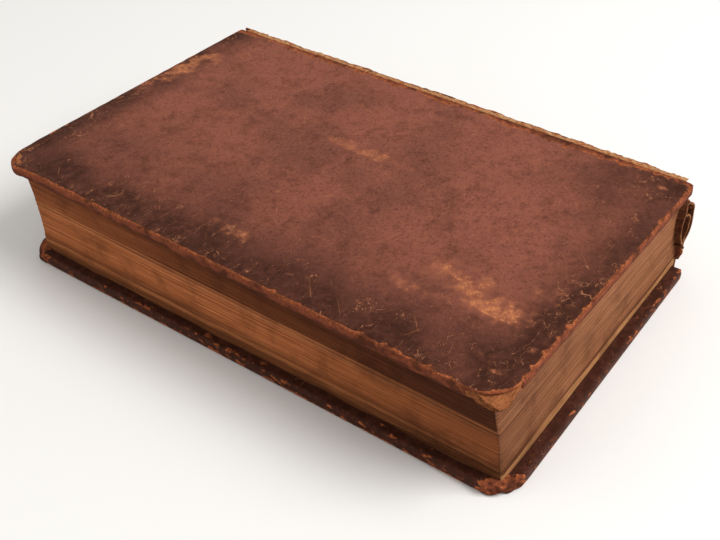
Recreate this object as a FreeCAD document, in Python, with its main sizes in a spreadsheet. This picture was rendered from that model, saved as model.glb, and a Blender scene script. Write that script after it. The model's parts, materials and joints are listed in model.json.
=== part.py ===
import FreeCAD, Part
import math
import os
import Sketcher

os.makedirs("parts", exist_ok=True)
doc = FreeCAD.newDocument("antique_leather_book")

# Driving dimensions, in millimetres and degrees
# The origin lies on the outer face of the back cover, under the middle of the front cover's length.
# X runs from the spine to the fore-edge, Y from the tail to the head, Z from the back cover to the front.
DIMENSIONS = {
    # Covers
    "cover_length": 232.0,
    "fore_reach": 73.15,
    "hinge_reach": 70.8,
    "leather_thickness": 0.8,
    "board_thickness": 3.2,
    "turn_in_thickness": 0.5,
    "turn_in_width": 16.0,
    "leather_arris": 0.4,
    "front_tail_round": 12.0,
    "front_head_round": 10.0,
    "board_tip_round": 1.5,
    "back_tail_round": 9.0,
    "back_head_round": 14.0,
    # Slew of the back cover, which the block follows by leaning and twisting
    "back_shift_across": -1.55,
    "back_shift_along": 2.75,
    "back_slew": 0.93,
    # Wear of the front cover
    "joint_peel_width": 3.8,
    "joint_peel_depth": 0.45,
    "tip_wear_reach": 6.5,
    "tip_wear_angle": 24.0,
    # Pastedowns
    "pastedown_thickness": 0.25,
    "pastedown_clearance": 0.1,
    # Laced slips
    "slip_length": 14.0,
    "slip_root_width": 2.4,
    "slip_tip_width": 6.0,
    "slip_thickness": 0.6,
    "slip_clearance": 0.1,
    # Text block
    "block_thickness": 38.5,
    "fore_square": 4.15,
    "head_square": 5.1,
    "tail_square": 5.9,
    "fore_hollow": 1.2,
    "shoulder_rise": 3.2,
    "shoulder_width": 0.8,
    "spine_round": 3.2,
    "joint_clearance": 0.3,
    # Sewing, at stations spaced evenly between the two end ones
    "end_station_margin": 32.0,
    "cord_diameter": 2.0,
    "cord_end_inset": 5.0,
    "kerf_clearance": 0.12,
    "kerf_end_room": 0.5,
    # Lining, hollow tube and leather over the back of the block
    "glue_line": 0.12,
    "lining_thickness": 0.45,
    "tube_wall": 0.4,
    "tube_fold": 1.5,
    "hollow_depth": 2.2,
    "spine_leather_thickness": 0.9,
    "spine_leather_drop": 0.6,
    "joint_lip_lift": 0.4,
    # Tears at the head of the spine leather
    "remnant_low": 15.5,
    "remnant_high": 34.0,
    "front_tear_length": 15.0,
    "back_tear_length": 9.0,
    "tear_bow": 1.6,
}
CORD_COUNT = 5

sheet = doc.addObject("Spreadsheet::Sheet", "sizes")
for row, (alias, value) in enumerate(DIMENSIONS.items(), start=1):
    sheet.set(f"A{row}", alias)
    sheet.set(f"B{row}", str(value))
    sheet.setAlias(f"B{row}", alias)
doc.recompute()

# Levels and places that follow from the driving dimensions
UNDER_LEATHER = "sizes.leather_thickness"
UNDER_BOARD = f"({UNDER_LEATHER} + sizes.board_thickness)"
COVER_THICKNESS = f"({UNDER_BOARD} + sizes.turn_in_thickness)"
BLOCK_LOW = COVER_THICKNESS
BLOCK_HIGH = f"({BLOCK_LOW} + sizes.block_thickness)"
BOOK_HIGH = f"({BLOCK_HIGH} + {COVER_THICKNESS})"
SHOULDER_LOW = f"({BLOCK_LOW} - sizes.shoulder_rise)"
SHOULDER_HIGH = f"({BLOCK_HIGH} + sizes.shoulder_rise)"
SHOULDER_X = "(-sizes.hinge_reach - sizes.joint_clearance)"
CHORD_X = f"({SHOULDER_X} - sizes.shoulder_width)"
FORE_X = "(sizes.fore_reach - sizes.fore_square)"
HALF_LENGTH = "(sizes.cover_length / 2)"
BLOCK_HEAD = f"({HALF_LENGTH} - sizes.head_square)"
BLOCK_TAIL = f"(sizes.tail_square - {HALF_LENGTH})"
CORD_PITCH = f"((sizes.cover_length - 2 * sizes.end_station_margin) / {CORD_COUNT - 1})"
BLOCK_TILT = "atan(sizes.back_shift_along / sizes.block_thickness)"
BACK_PLACE = (
    "placement(vector(sizes.back_shift_across; sizes.back_shift_along; 0);"
    " rotation(vector(0; 0; 1); sizes.back_slew))"
)


def number(owner, expression):
    """Value of an expression, used only to start a sketch near its driven shape."""
    value = owner.evalExpression(expression)
    return float(getattr(value, "Value", value))


def new_body(name):
    """A body whose label is the piece's name."""
    body = doc.addObject("PartDesign::Body", name)
    body.Label = name
    return body


def new_sketch(body, role, name, offset):
    """A sketch on one of the body's own origin planes, moved by a placement expression."""
    plane = next(item for item in body.Origin.OriginFeatures if item.Role == role)
    sketch = body.newObject("Sketcher::SketchObject", f"{body.Name}_{name}")
    sketch.AttachmentSupport = [(plane, "")]
    sketch.MapMode = "FlatFace"
    sketch.setExpression("AttachmentOffset", offset)
    return sketch


def raised(level):
    """Offset of a level sketch to its height."""
    return f"placement(vector(0; 0; {level}); rotation(vector(0; 0; 1); 0))"


def leaning(along):
    """Offset of a cross-section that leans and turns with the block and meets its top at this length."""
    base = f"-({along}) - {BLOCK_HIGH} * tan({BLOCK_TILT})"
    return f"placement(vector(0; 0; {base}); rotation(0; sizes.back_slew / 2; {BLOCK_TILT}))"


def bowed_arc(start, end, rise):
    """Anticlockwise arc between two points that bows by its rise to the right of the run."""
    run = end - start
    aside = FreeCAD.Vector(run.y, -run.x, 0).normalize()
    radius = run.Length**2 / (8 * abs(rise)) + abs(rise) / 2
    centre = (start + end) / 2 + aside * (rise - math.copysign(radius, rise))
    first, last = (start, end) if rise > 0 else (end, start)
    opening = math.atan2(first.y - centre.y, first.x - centre.x)
    closing = math.atan2(last.y - centre.y, last.x - centre.x)
    if closing < opening:
        closing += 2 * math.pi
    return Part.ArcOfCircle(Part.Circle(centre, FreeCAD.Vector(0, 0, 1), radius), opening, closing)


def nearest_end(sketch, side, point):
    """Which end of a side lies at a point: 1 for its start and 2 for its end."""
    geometry = sketch.Geometry[side]
    to_start = geometry.StartPoint.distanceToPoint(point)
    return 1 if to_start < geometry.EndPoint.distanceToPoint(point) else 2


def drive(sketch, constraint, expression):
    """Add a constraint whose value follows an expression."""
    index = sketch.addConstraint(constraint)
    sketch.renameConstraint(index, f"size_{index}")
    sketch.setExpression(f"Constraints.size_{index}", expression)


def drive_corner(sketch, side, end, point, corner):
    """Hold one end of a side at a corner given as expressions."""
    drive(sketch, Sketcher.Constraint("DistanceX", side, end, point.x), corner[0])
    drive(sketch, Sketcher.Constraint("DistanceY", side, end, point.y), corner[1])


def drive_radius(sketch, side, start, end, rise):
    """Hold an arc to its rise over the chord between two corners."""
    chord = f"((({end[0]}) - ({start[0]}))^2 + (({end[1]}) - ({start[1]}))^2)"
    radius = f"{chord} / (8 * abs({rise})) + abs({rise}) / 2"
    drive(sketch, Sketcher.Constraint("Radius", side, number(sketch, radius)), radius)


def draw_outline(sketch, corners, bows=None):
    """Closed outline through corners given as expressions; a side with a bow is an arc of that rise.

    The outline runs anticlockwise, and a bow that starts with a minus sign rises inwards.
    """
    bows = bows or {}
    first = sketch.GeometryCount
    points = [FreeCAD.Vector(number(sketch, x), number(sketch, y), 0) for x, y in corners]
    for index, start in enumerate(points):
        end = points[(index + 1) % len(points)]
        if index in bows:
            sketch.addGeometry(bowed_arc(start, end, number(sketch, bows[index])))
        else:
            sketch.addGeometry(Part.LineSegment(start, end))
    for index, corner in enumerate(corners):
        side = first + index
        before = first + (index - 1) % len(corners)
        end = nearest_end(sketch, side, points[index])
        drive_corner(sketch, side, end, points[index], corner)
        meeting = nearest_end(sketch, before, points[index])
        sketch.addConstraint(Sketcher.Constraint("Coincident", side, end, before, meeting))
        if index in bows:
            drive_radius(sketch, side, corner, corners[(index + 1) % len(corners)], bows[index])


def draw_arc(sketch, start, end, rise):
    """One open arc between two corners given as expressions."""
    points = [FreeCAD.Vector(number(sketch, x), number(sketch, y), 0) for x, y in (start, end)]
    sketch.addGeometry(bowed_arc(*points, number(sketch, rise)))
    for point, corner in zip(points, (start, end)):
        drive_corner(sketch, 0, nearest_end(sketch, 0, point), point, corner)
    drive_radius(sketch, 0, start, end, rise)


def pad(body, sketch, length):
    """Thicken a sketch along its own normal."""
    feature = body.newObject("PartDesign::Pad", f"{sketch.Name}_pad")
    feature.Profile = sketch
    feature.setExpression("Length", length)
    doc.recompute()
    return feature


def cut(body, sketch, length, side="One side"):
    """Cut a sketch out along its own normal, or to both sides, and make sure that it cuts."""
    before = body.Shape.Volume
    feature = body.newObject("PartDesign::Pocket", f"{sketch.Name}_cut")
    feature.Profile = sketch
    feature.Reversed = True
    feature.SideType = side
    feature.setExpression("Length", length)
    doc.recompute()
    if body.Shape.Volume >= before:
        raise RuntimeError(f"{sketch.Name} cuts nothing")
    return feature


def fillet_edges(body, feature, chosen, radius):
    """Round the edges of a feature that a test picks."""
    names = [f"Edge{i}" for i, edge in enumerate(feature.Shape.Edges, start=1) if chosen(edge)]
    fillet = body.newObject("PartDesign::Fillet", f"{feature.Name}_round")
    fillet.Base = (feature, names)
    fillet.setExpression("Radius", radius)
    doc.recompute()
    return fillet


def layer_low(side, near, far):
    """Lower level of a cover's layer that lies between two depths under its outer face."""
    return f"({BOOK_HIGH} - {far})" if side == "front" else near


def place_with_cover(body, side):
    """The back cover and all that is fixed to it lie slewed under the block."""
    if side == "back":
        body.setExpression("Placement", BACK_PLACE)


def cover_outline(sketch, spine_x, inset, tail_round, head_round):
    """Outline of a cover or its board, square at the spine and rounded at the fore-edge."""
    fore = f"(sizes.fore_reach - {inset})"
    half = f"({HALF_LENGTH} - {inset})"
    corners = [
        (spine_x, f"-{half}"),
        (f"{fore} - {tail_round}", f"-{half}"),
        (fore, f"{tail_round} - {half}"),
        (fore, f"{half} - {head_round}"),
        (f"{fore} - {head_round}", half),
        (spine_x, half),
    ]
    bows = {1: f"({tail_round}) * (1 - cos(45))", 3: f"({head_round}) * (1 - cos(45))"}
    draw_outline(sketch, corners, bows)


def board_outline(sketch, side, spine_x):
    """Outline of the board inside its leather; the front one has lost its leather at the head corner."""
    tail_round = f"(sizes.{side}_tail_round - {UNDER_LEATHER})"
    head_round = "sizes.board_tip_round"
    if side == "back":
        head_round = f"(sizes.back_head_round - {UNDER_LEATHER})"
    cover_outline(sketch, spine_x, UNDER_LEATHER, tail_round, head_round)


def slip_outline(sketch, station, clearance, root_x):
    """Fanned end of a cord, pasted out on the board from its spine edge."""
    root = f"(sizes.slip_root_width / 2 + {clearance})"
    tip = f"(sizes.slip_tip_width / 2 + {clearance})"
    end_x = f"(sizes.slip_length + {clearance} - sizes.hinge_reach)"
    middle = f"({station}) * {CORD_PITCH}"
    corners = [
        (root_x, f"{middle} - {root}"),
        (end_x, f"{middle} - {tip}"),
        (end_x, f"{middle} + {tip}"),
        (root_x, f"{middle} + {root}"),
    ]
    draw_outline(sketch, corners)


def stations():
    """Places of the cords, counted in pitches from the middle of the length."""
    return [index - (CORD_COUNT - 1) / 2 for index in range(CORD_COUNT)]


def make_board(side):
    """Pasteboard, with shallow grooves in its outer face for the laced slips."""
    body = new_body(f"{side}_board")
    base = new_sketch(body, "XY_Plane", "base", raised(layer_low(side, UNDER_LEATHER, UNDER_BOARD)))
    board_outline(base, side, "-sizes.hinge_reach")
    pad(body, base, "sizes.board_thickness")
    slip_far = f"({UNDER_LEATHER} + sizes.slip_thickness)"
    grooves = new_sketch(body, "XY_Plane", "grooves", raised(layer_low(side, UNDER_LEATHER, slip_far)))
    for station in stations():
        slip_outline(grooves, station, "sizes.slip_clearance", "-sizes.hinge_reach - sizes.slip_root_width")
    cut(body, grooves, "sizes.slip_thickness")
    if side == "front":
        wear_tip(body)
    place_with_cover(body, side)
    return body


def wear_tip(body):
    """Slope the bare head corner of the front board down to its tip."""
    back_off = f"({UNDER_LEATHER} + sizes.tip_wear_reach / sqrt(2))"
    place = (
        f"placement(vector(sizes.fore_reach - {back_off}; {HALF_LENGTH} - {back_off};"
        f" {BOOK_HIGH} - {UNDER_LEATHER}); rotation(vector(-1; 1; 0); sizes.tip_wear_angle))"
    )
    slope = new_sketch(body, "XY_Plane", "slope", place)
    reach = "(2 * sizes.tip_wear_reach)"
    draw_outline(slope, [(f"-{reach}", f"-{reach}"), (reach, f"-{reach}"), (reach, reach), (f"-{reach}", reach)])
    cut(body, slope, reach)


def make_cover_leather(side):
    """Calf skin over the outer face, round three edges of the board and turned in on its inner face."""
    body = new_body(f"{side}_leather")
    slab = new_sketch(body, "XY_Plane", "slab", raised(layer_low(side, "0", COVER_THICKNESS)))
    rounds = [f"sizes.{side}_tail_round", f"sizes.{side}_head_round"]
    cover_outline(slab, "-sizes.hinge_reach", "0", *rounds)
    whole = pad(body, slab, COVER_THICKNESS)
    fillet_edges(body, whole, is_outer_arris, "sizes.leather_arris")
    past_spine = f"-sizes.hinge_reach - {COVER_THICKNESS}"
    cavity = new_sketch(body, "XY_Plane", "cavity", raised(layer_low(side, UNDER_LEATHER, UNDER_BOARD)))
    board_outline(cavity, side, past_spine)
    cut(body, cavity, "sizes.board_thickness")
    window = new_sketch(body, "XY_Plane", "window", raised(layer_low(side, UNDER_BOARD, COVER_THICKNESS)))
    window_outline(window, past_spine, "0")
    cut(body, window, "sizes.turn_in_thickness")
    if side == "front":
        peel_joint(body, past_spine)
    place_with_cover(body, side)
    return body


def is_outer_arris(edge):
    """True for a level edge of the cover that isn't its spine edge."""
    box = edge.BoundBox
    return box.ZLength < 1e-6 and box.XMax > 1e-6 - sheet.hinge_reach


def peel_joint(body, past_spine):
    """Top layer of the leather torn off in a strip along the broken front joint."""
    peel = new_sketch(body, "XY_Plane", "peel", raised(f"{BOOK_HIGH} - sizes.joint_peel_depth"))
    edge_x = "(sizes.joint_peel_width - sizes.hinge_reach)"
    half = "sizes.cover_length"
    draw_outline(peel, [(past_spine, f"-{half}"), (edge_x, f"-{half}"), (edge_x, half), (past_spine, half)])
    cut(body, peel, "sizes.joint_peel_depth")


def window_outline(sketch, spine_x, clearance):
    """Opening that the turn-ins leave on the inner face of the board."""
    inset = f"({UNDER_LEATHER} + sizes.turn_in_width + {clearance})"
    fore = f"(sizes.fore_reach - {inset})"
    half = f"({HALF_LENGTH} - {inset})"
    draw_outline(sketch, [(spine_x, f"-{half}"), (fore, f"-{half}"), (fore, half), (spine_x, half)])


def make_pastedown(side):
    """Paper pasted on the inner face of the board, inside the turn-ins."""
    body = new_body(f"{side}_pastedown")
    far = f"({UNDER_BOARD} + sizes.pastedown_thickness)"
    sheet_face = new_sketch(body, "XY_Plane", "face", raised(layer_low(side, UNDER_BOARD, far)))
    window_outline(sheet_face, "-sizes.hinge_reach", "sizes.pastedown_clearance")
    pad(body, sheet_face, "sizes.pastedown_thickness")
    place_with_cover(body, side)
    return body


def make_slip(side, place, station):
    """Frayed end of one cord, laced to the board and covered by the leather."""
    body = new_body(f"{side}_slip_{place}")
    far = f"({UNDER_LEATHER} + sizes.slip_thickness)"
    fan = new_sketch(body, "XY_Plane", "fan", raised(layer_low(side, UNDER_LEATHER, far)))
    slip_outline(fan, station, "0", "-sizes.hinge_reach")
    pad(body, fan, "sizes.slip_thickness")
    place_with_cover(body, side)
    return body


def lean(along):
    """How far the lower end of a cross-section is moved across, at a place along the block."""
    return f"(sizes.back_shift_across - sin(sizes.back_slew) * ({along}))"


def upright(level):
    """Height in a leaning cross-section that comes out at this level."""
    return f"({level}) / cos({BLOCK_TILT})"


def loft_between(body, kind, name, draw, tail, head):
    """Straight-ruled loft of one cross-section from the tail to the head."""
    ends = []
    for end_name, along in (("tail", tail), ("head", head)):
        profile = new_sketch(body, "XZ_Plane", f"{name}_{end_name}", leaning(along))
        draw(profile, along)
        ends.append(profile)
    feature = body.newObject(kind, f"{body.Name}_{name}")
    feature.Profile = ends[0]
    feature.Sections = [ends[1]]
    feature.Ruled = True
    doc.recompute()
    return feature


def block_profile(sketch, along):
    """Cross-section of the leaves: hollow fore-edge, flat faces, shoulders and rounded back."""
    shift = lean(along)
    corners = [
        (f"{FORE_X} + {shift}", upright(BLOCK_LOW)),
        (FORE_X, upright(BLOCK_HIGH)),
        (SHOULDER_X, upright(BLOCK_HIGH)),
        (SHOULDER_X, upright(SHOULDER_HIGH)),
        (CHORD_X, upright(SHOULDER_HIGH)),
        (f"{CHORD_X} + {shift}", upright(SHOULDER_LOW)),
        (f"{SHOULDER_X} + {shift}", upright(SHOULDER_LOW)),
        (f"{SHOULDER_X} + {shift}", upright(BLOCK_LOW)),
    ]
    draw_outline(sketch, corners, {0: "-sizes.fore_hollow", 4: "sizes.spine_round"})


def bowed_at(inset):
    """How far the rounded back has already bowed out at this height inside its ends."""
    height = f"({SHOULDER_HIGH} - {SHOULDER_LOW})"
    return f"(sizes.spine_round * (1 - (1 - 2 * {inset} / {height})^2))"


def back_ends(along, offset, inset="0"):
    """Lower and upper end of a line that follows the rounded back at an offset behind it."""
    share = f"({inset} / ({SHOULDER_HIGH} - {SHOULDER_LOW}))"
    line_x = f"{CHORD_X} - {offset} - {bowed_at(inset)}"
    low = (f"{line_x} + {lean(along)} * (1 - {share})", upright(f"{SHOULDER_LOW} + {inset}"))
    high = (f"{line_x} + {lean(along)} * {share}", upright(f"{SHOULDER_HIGH} - {inset}"))
    return low, high


def crescent(sketch, along, near, near_round, far, far_round, inset="0"):
    """Curved strip over the back of the block, between two offsets behind it."""
    near_low, near_high = back_ends(along, near, inset)
    far_low, far_high = back_ends(along, far, inset)
    draw_outline(sketch, [near_low, near_high, far_high, far_low], {0: f"-({near_round})", 2: far_round})


def make_text_block():
    """All the sewn leaves as one solid, with a kerf across the back for each cord."""
    body = new_body("text_block")
    loft_between(body, "PartDesign::AdditiveLoft", "leaves", block_profile, BLOCK_TAIL, BLOCK_HEAD)
    inset = "(sizes.cord_end_inset - sizes.kerf_end_room)"
    rise = f"(sizes.spine_round - {bowed_at(inset)})"
    width = "(sizes.cord_diameter + 2 * sizes.kerf_clearance)"
    for place, station in enumerate(stations(), start=1):
        along = f"({station}) * {CORD_PITCH}"
        kerf = new_sketch(body, "XZ_Plane", f"kerf_{place}", leaning(along))
        crescent(kerf, along, f"(-{width})", rise, width, rise, inset)
        cut(body, kerf, width, "Symmetric")
    return body


def make_sewing_cord(place, station):
    """Hemp cord that the sections are sewn round, sunk in its kerf."""
    body = new_body(f"sewing_cord_{place}")
    along = f"({station}) * {CORD_PITCH}"
    inset = "sizes.cord_end_inset"
    low, high = back_ends(along, "(-sizes.cord_diameter / 2 - sizes.kerf_clearance)", inset)
    path = new_sketch(body, "XZ_Plane", "path", leaning(along))
    draw_arc(path, high, low, f"(sizes.spine_round - {bowed_at(inset)})")
    doc.recompute()
    section = body.newObject("Sketcher::SketchObject", f"{body.Name}_section")
    section.AttachmentSupport = [(path, "Edge1")]
    section.MapMode = "NormalToEdge"
    section.addGeometry(Part.Circle(FreeCAD.Vector(0, 0, 0), FreeCAD.Vector(0, 0, 1), 1))
    section.addConstraint(Sketcher.Constraint("Coincident", 0, 3, -1, 1))
    drive(section, Sketcher.Constraint("Diameter", 0, sheet.cord_diameter), "sizes.cord_diameter")
    doc.recompute()
    cord = body.newObject("PartDesign::AdditivePipe", f"{body.Name}_cord")
    cord.Profile = section
    cord.Spine = (path, ["Edge1"])
    doc.recompute()
    return body


LINING_NEAR = "sizes.glue_line"
LINING_FAR = f"({LINING_NEAR} + sizes.lining_thickness)"
TUBE_NEAR = f"({LINING_FAR} + sizes.glue_line)"
TUBE_FAR = f"({TUBE_NEAR} + 2 * sizes.tube_wall)"
LEATHER_NEAR = f"({TUBE_FAR} + sizes.glue_line)"
LEATHER_FAR = f"({LEATHER_NEAR} + sizes.spine_leather_thickness)"
HOLLOW_ROUND = "(sizes.spine_round + sizes.hollow_depth)"


def make_spine_lining():
    """Cloth and paper pasted on the rounded back of the block."""
    body = new_body("spine_lining")

    def section(sketch, along):
        crescent(sketch, along, LINING_NEAR, "sizes.spine_round", LINING_FAR, "sizes.spine_round")

    loft_between(body, "PartDesign::AdditiveLoft", "lining", section, BLOCK_TAIL, BLOCK_HEAD)
    return body


def make_hollow_tube():
    """Flat paper tube: its inner wall stays on the block and its outer wall bows out with the leather."""
    body = new_body("hollow_tube")

    def outside(sketch, along):
        crescent(sketch, along, TUBE_NEAR, "sizes.spine_round", TUBE_FAR, HOLLOW_ROUND)

    def inside(sketch, along):
        fold = "sizes.tube_fold"
        ends = back_ends(along, f"({TUBE_NEAR} + sizes.tube_wall)", fold)
        bowed = bowed_at(fold)
        draw_outline(sketch, list(ends), {0: f"-(sizes.spine_round - {bowed})", 1: f"({HOLLOW_ROUND} - {bowed})"})

    loft_between(body, "PartDesign::AdditiveLoft", "tube", outside, BLOCK_TAIL, BLOCK_HEAD)
    past = "sizes.head_square"
    loft_between(
        body, "PartDesign::SubtractiveLoft", "hollow", inside, f"{BLOCK_TAIL} - {past}", f"{BLOCK_HEAD} + {past}"
    )
    return body


def spine_leather_profile(sketch, along):
    """Cross-section of the spine leather, with the lip that lies in the back joint."""
    shift = lean(along)
    lip_top = f"{SHOULDER_LOW} - sizes.glue_line"
    torn_edge = upright(f"{BOOK_HIGH} - sizes.spine_leather_drop")
    corners = [
        (f"{CHORD_X} - {LEATHER_NEAR} + {shift}", upright(SHOULDER_LOW)),
        (f"{CHORD_X} - {LEATHER_NEAR}", upright(SHOULDER_HIGH)),
        (f"{CHORD_X} - {LEATHER_NEAR}", torn_edge),
        (f"{CHORD_X} - {LEATHER_FAR}", torn_edge),
        (f"{CHORD_X} - {LEATHER_FAR}", upright(SHOULDER_HIGH)),
        (f"{CHORD_X} - {LEATHER_FAR} + {shift}", upright(SHOULDER_LOW)),
        (f"{CHORD_X} - {LEATHER_NEAR} + {shift}", upright("sizes.joint_lip_lift")),
        (f"{SHOULDER_X} + {shift}", upright("sizes.joint_lip_lift")),
        (f"{SHOULDER_X} + {shift}", upright(lip_top)),
        (f"{CHORD_X} - {LEATHER_NEAR} + {shift}", upright(lip_top)),
    ]
    draw_outline(sketch, corners, {0: f"-{HOLLOW_ROUND}", 4: HOLLOW_ROUND})


def make_spine_leather():
    """Calf skin over the hollow, whole in the back joint, broken in the front one and torn at the head."""
    body = new_body("spine_leather")
    loft_between(
        body, "PartDesign::AdditiveLoft", "skin", spine_leather_profile, f"-{HALF_LENGTH}", HALF_LENGTH
    )
    tears = new_sketch(body, "YZ_Plane", "tears", raised("0"))
    past_head = f"({HALF_LENGTH} + {BLOCK_LOW})"
    above = f"({BOOK_HIGH} + sizes.spine_leather_thickness)"
    below = "(-sizes.spine_leather_thickness)"
    front_tear = [
        (past_head, "sizes.remnant_high"),
        (past_head, above),
        (f"{HALF_LENGTH} - sizes.front_tear_length", above),
        (HALF_LENGTH, "sizes.remnant_high"),
    ]
    back_tear = [
        (past_head, "sizes.remnant_low"),
        (HALF_LENGTH, "sizes.remnant_low"),
        (f"{HALF_LENGTH} - sizes.back_tear_length", below),
        (past_head, below),
    ]
    draw_outline(tears, front_tear, {2: "sizes.tear_bow"})
    draw_outline(tears, back_tear, {1: "sizes.tear_bow"})
    cut(body, tears, "4 * sizes.fore_reach", "Symmetric")
    return body


def make_all():
    """Every piece of the book."""
    pieces = [make_text_block(), make_spine_lining(), make_hollow_tube(), make_spine_leather()]
    for place, station in enumerate(stations(), start=1):
        pieces.append(make_sewing_cord(place, station))
    for side in ("front", "back"):
        pieces += [make_board(side), make_cover_leather(side), make_pastedown(side)]
        for place, station in enumerate(stations(), start=1):
            pieces.append(make_slip(side, place, station))
    return pieces


pieces = make_all()
doc.recompute()
for item in doc.Objects:
    if {"Invalid", "Error"} & set(item.State):
        raise RuntimeError(f"{item.Name} has failed: {item.State}")
for piece in pieces:
    if piece.Shape.isNull() or not piece.Shape.isValid() or len(piece.Shape.Solids) != 1:
        raise RuntimeError(f"{piece.Label} is not one sound solid")
    piece.Shape.exportStep(f"parts/{piece.Label}.step")
    print(piece.Label, round(piece.Shape.Volume, 1))
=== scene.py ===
import json
import math

import bmesh
import bpy
from mathutils import Matrix, Vector, noise


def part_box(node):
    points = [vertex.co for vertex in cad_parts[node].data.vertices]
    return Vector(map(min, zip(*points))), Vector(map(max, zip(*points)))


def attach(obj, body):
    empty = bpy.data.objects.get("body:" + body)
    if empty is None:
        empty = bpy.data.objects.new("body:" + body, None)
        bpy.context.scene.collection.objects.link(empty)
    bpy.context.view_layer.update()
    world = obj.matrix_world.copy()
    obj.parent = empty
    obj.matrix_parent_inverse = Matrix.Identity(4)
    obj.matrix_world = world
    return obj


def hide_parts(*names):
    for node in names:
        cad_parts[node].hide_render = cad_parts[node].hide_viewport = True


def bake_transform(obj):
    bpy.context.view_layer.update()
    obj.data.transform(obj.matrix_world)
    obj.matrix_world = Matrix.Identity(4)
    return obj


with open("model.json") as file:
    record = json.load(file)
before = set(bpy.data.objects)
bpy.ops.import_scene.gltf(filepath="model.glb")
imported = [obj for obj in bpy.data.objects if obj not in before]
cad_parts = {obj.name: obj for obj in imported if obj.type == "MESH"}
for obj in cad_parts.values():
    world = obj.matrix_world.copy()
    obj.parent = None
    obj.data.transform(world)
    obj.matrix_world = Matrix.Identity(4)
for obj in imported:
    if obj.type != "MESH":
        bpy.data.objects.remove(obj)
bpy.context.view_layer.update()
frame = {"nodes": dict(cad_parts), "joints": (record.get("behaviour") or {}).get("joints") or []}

record_joints = {joint["name"]: joint for joint in frame["joints"]}
MM = 0.001


# The studio
# A pale floor that the book lies on, a soft lamp high on the head side, a weak one on the tail side
# and a pale surround. The camera stands off the head and fore-edge corner, as in the photograph.
# The floor is a hair lower than the book, so that an opened back cover doesn't lie in its plane.
FLOOR_HALF = 4.0
FLOOR_GAP = 0.0003
FLOOR_COLOUR = (0.86, 0.85, 0.83, 1.0)
SURROUND_COLOUR = (1.0, 0.985, 0.96, 1.0)
SURROUND_STRENGTH = 0.55
CAMERA_PLACE = Vector((0.26902, 0.21332, 0.27177))
CAMERA_AIM = Vector((-0.62075, -0.47346, -0.62491))
CAMERA_ROLL = math.radians(-0.94)
CAMERA_LENS = 52.1
LAMPS = {
    "key_lamp": {"place": (-0.35, 0.95, 1.1), "size": 0.8, "power": 19.0},
    "fill_lamp": {"place": (0.9, -0.75, 0.8), "size": 1.1, "power": 2.5},
}


def new_material(name):
    """Empty node material with its surface shader and output."""
    material = bpy.data.materials.new(name)
    material.use_nodes = True
    tree = material.node_tree
    return material, tree, tree.nodes["Principled BSDF"]


def put(tree, kind, inputs=None, **settings):
    """Add a node. An input given as a socket is linked, and anything else is its value."""
    item = tree.nodes.new(kind)
    for key, value in settings.items():
        setattr(item, key, value)
    for key, value in (inputs or {}).items():
        if isinstance(value, bpy.types.NodeSocket):
            tree.links.new(value, item.inputs[key])
        else:
            item.inputs[key].default_value = value
    return item


def make_studio():
    """Floor, lamps, surround and camera."""
    bm = bmesh.new()
    below = Matrix.Translation((0.0, 0.0, -FLOOR_GAP))
    bmesh.ops.create_grid(bm, x_segments=1, y_segments=1, size=FLOOR_HALF, matrix=below)
    mesh = bpy.data.meshes.new("studio_floor")
    bm.to_mesh(mesh)
    bm.free()
    floor = bpy.data.objects.new("studio_floor", mesh)
    bpy.context.collection.objects.link(floor)
    material, tree, surface = new_material("studio_floor")
    surface.inputs["Base Color"].default_value = FLOOR_COLOUR
    surface.inputs["Roughness"].default_value = 0.9
    mesh.materials.append(material)
    for name, lamp in LAMPS.items():
        data = bpy.data.lights.new(name, "AREA")
        data.size = lamp["size"]
        data.energy = lamp["power"]
        item = bpy.data.objects.new(name, data)
        item.location = lamp["place"]
        item.rotation_euler = (-Vector(lamp["place"])).to_track_quat("-Z", "Y").to_euler()
        bpy.context.collection.objects.link(item)
    world = bpy.data.worlds.new("studio_surround")
    world.use_nodes = True
    surround = world.node_tree.nodes["Background"]
    surround.inputs["Color"].default_value = SURROUND_COLOUR
    light_path = put(world.node_tree, "ShaderNodeLightPath")
    seen = put(world.node_tree, "ShaderNodeMapRange", {
        "Value": light_path.outputs["Is Camera Ray"], "To Min": SURROUND_STRENGTH, "To Max": 1.0})
    world.node_tree.links.new(seen.outputs["Result"], surround.inputs["Strength"])
    bpy.context.scene.world = world
    bpy.context.scene.view_settings.view_transform = "Standard"
    camera_data = bpy.data.cameras.new("camera")
    camera_data.lens = CAMERA_LENS
    camera = bpy.data.objects.new("camera", camera_data)
    turn = CAMERA_AIM.to_track_quat("-Z", "Y").to_matrix() @ Matrix.Rotation(CAMERA_ROLL, 3, "Z")
    camera.location = CAMERA_PLACE
    camera.rotation_euler = turn.to_euler()
    bpy.context.collection.objects.link(camera)
    bpy.context.scene.camera = camera


make_studio()


# The leather of the two covers
# Each board is skinned in brown calf, 0.8 mm thick, drawn over its outer face, round three edges and
# turned in on its inner face. The dark grain layer has flaked off along the edges, in ragged lines,
# and shows the orange, powdery flesh of the skin. Built face up, in millimetres, then put in place.
front_low, front_high = (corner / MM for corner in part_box("front_leather"))
HINGE_X = record_joints["front_hinge"]["pos_m"][0] / MM
FORE_X = front_high.x
HALF_LENGTH = front_high.y
BOOK_HIGH = front_high.z
COVER_THICKNESS = front_high.z - front_low.z
back_axis = record_joints["back_hinge"]["axis"]
BACK_SLEW = math.atan2(-back_axis[0], back_axis[1])
BACK_PLACE = (
    Matrix.Translation(Vector(record_joints["back_hinge"]["pos_m"]) / MM)
    @ Matrix.Rotation(BACK_SLEW, 4, "Z")
    @ Matrix.Translation((-HINGE_X, 0.0, 0.0))
)
TURN_IN_WIDTH = 16.8
TURN_IN_THICKNESS = 0.5
JOINT_MARGIN = 1.2
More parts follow.
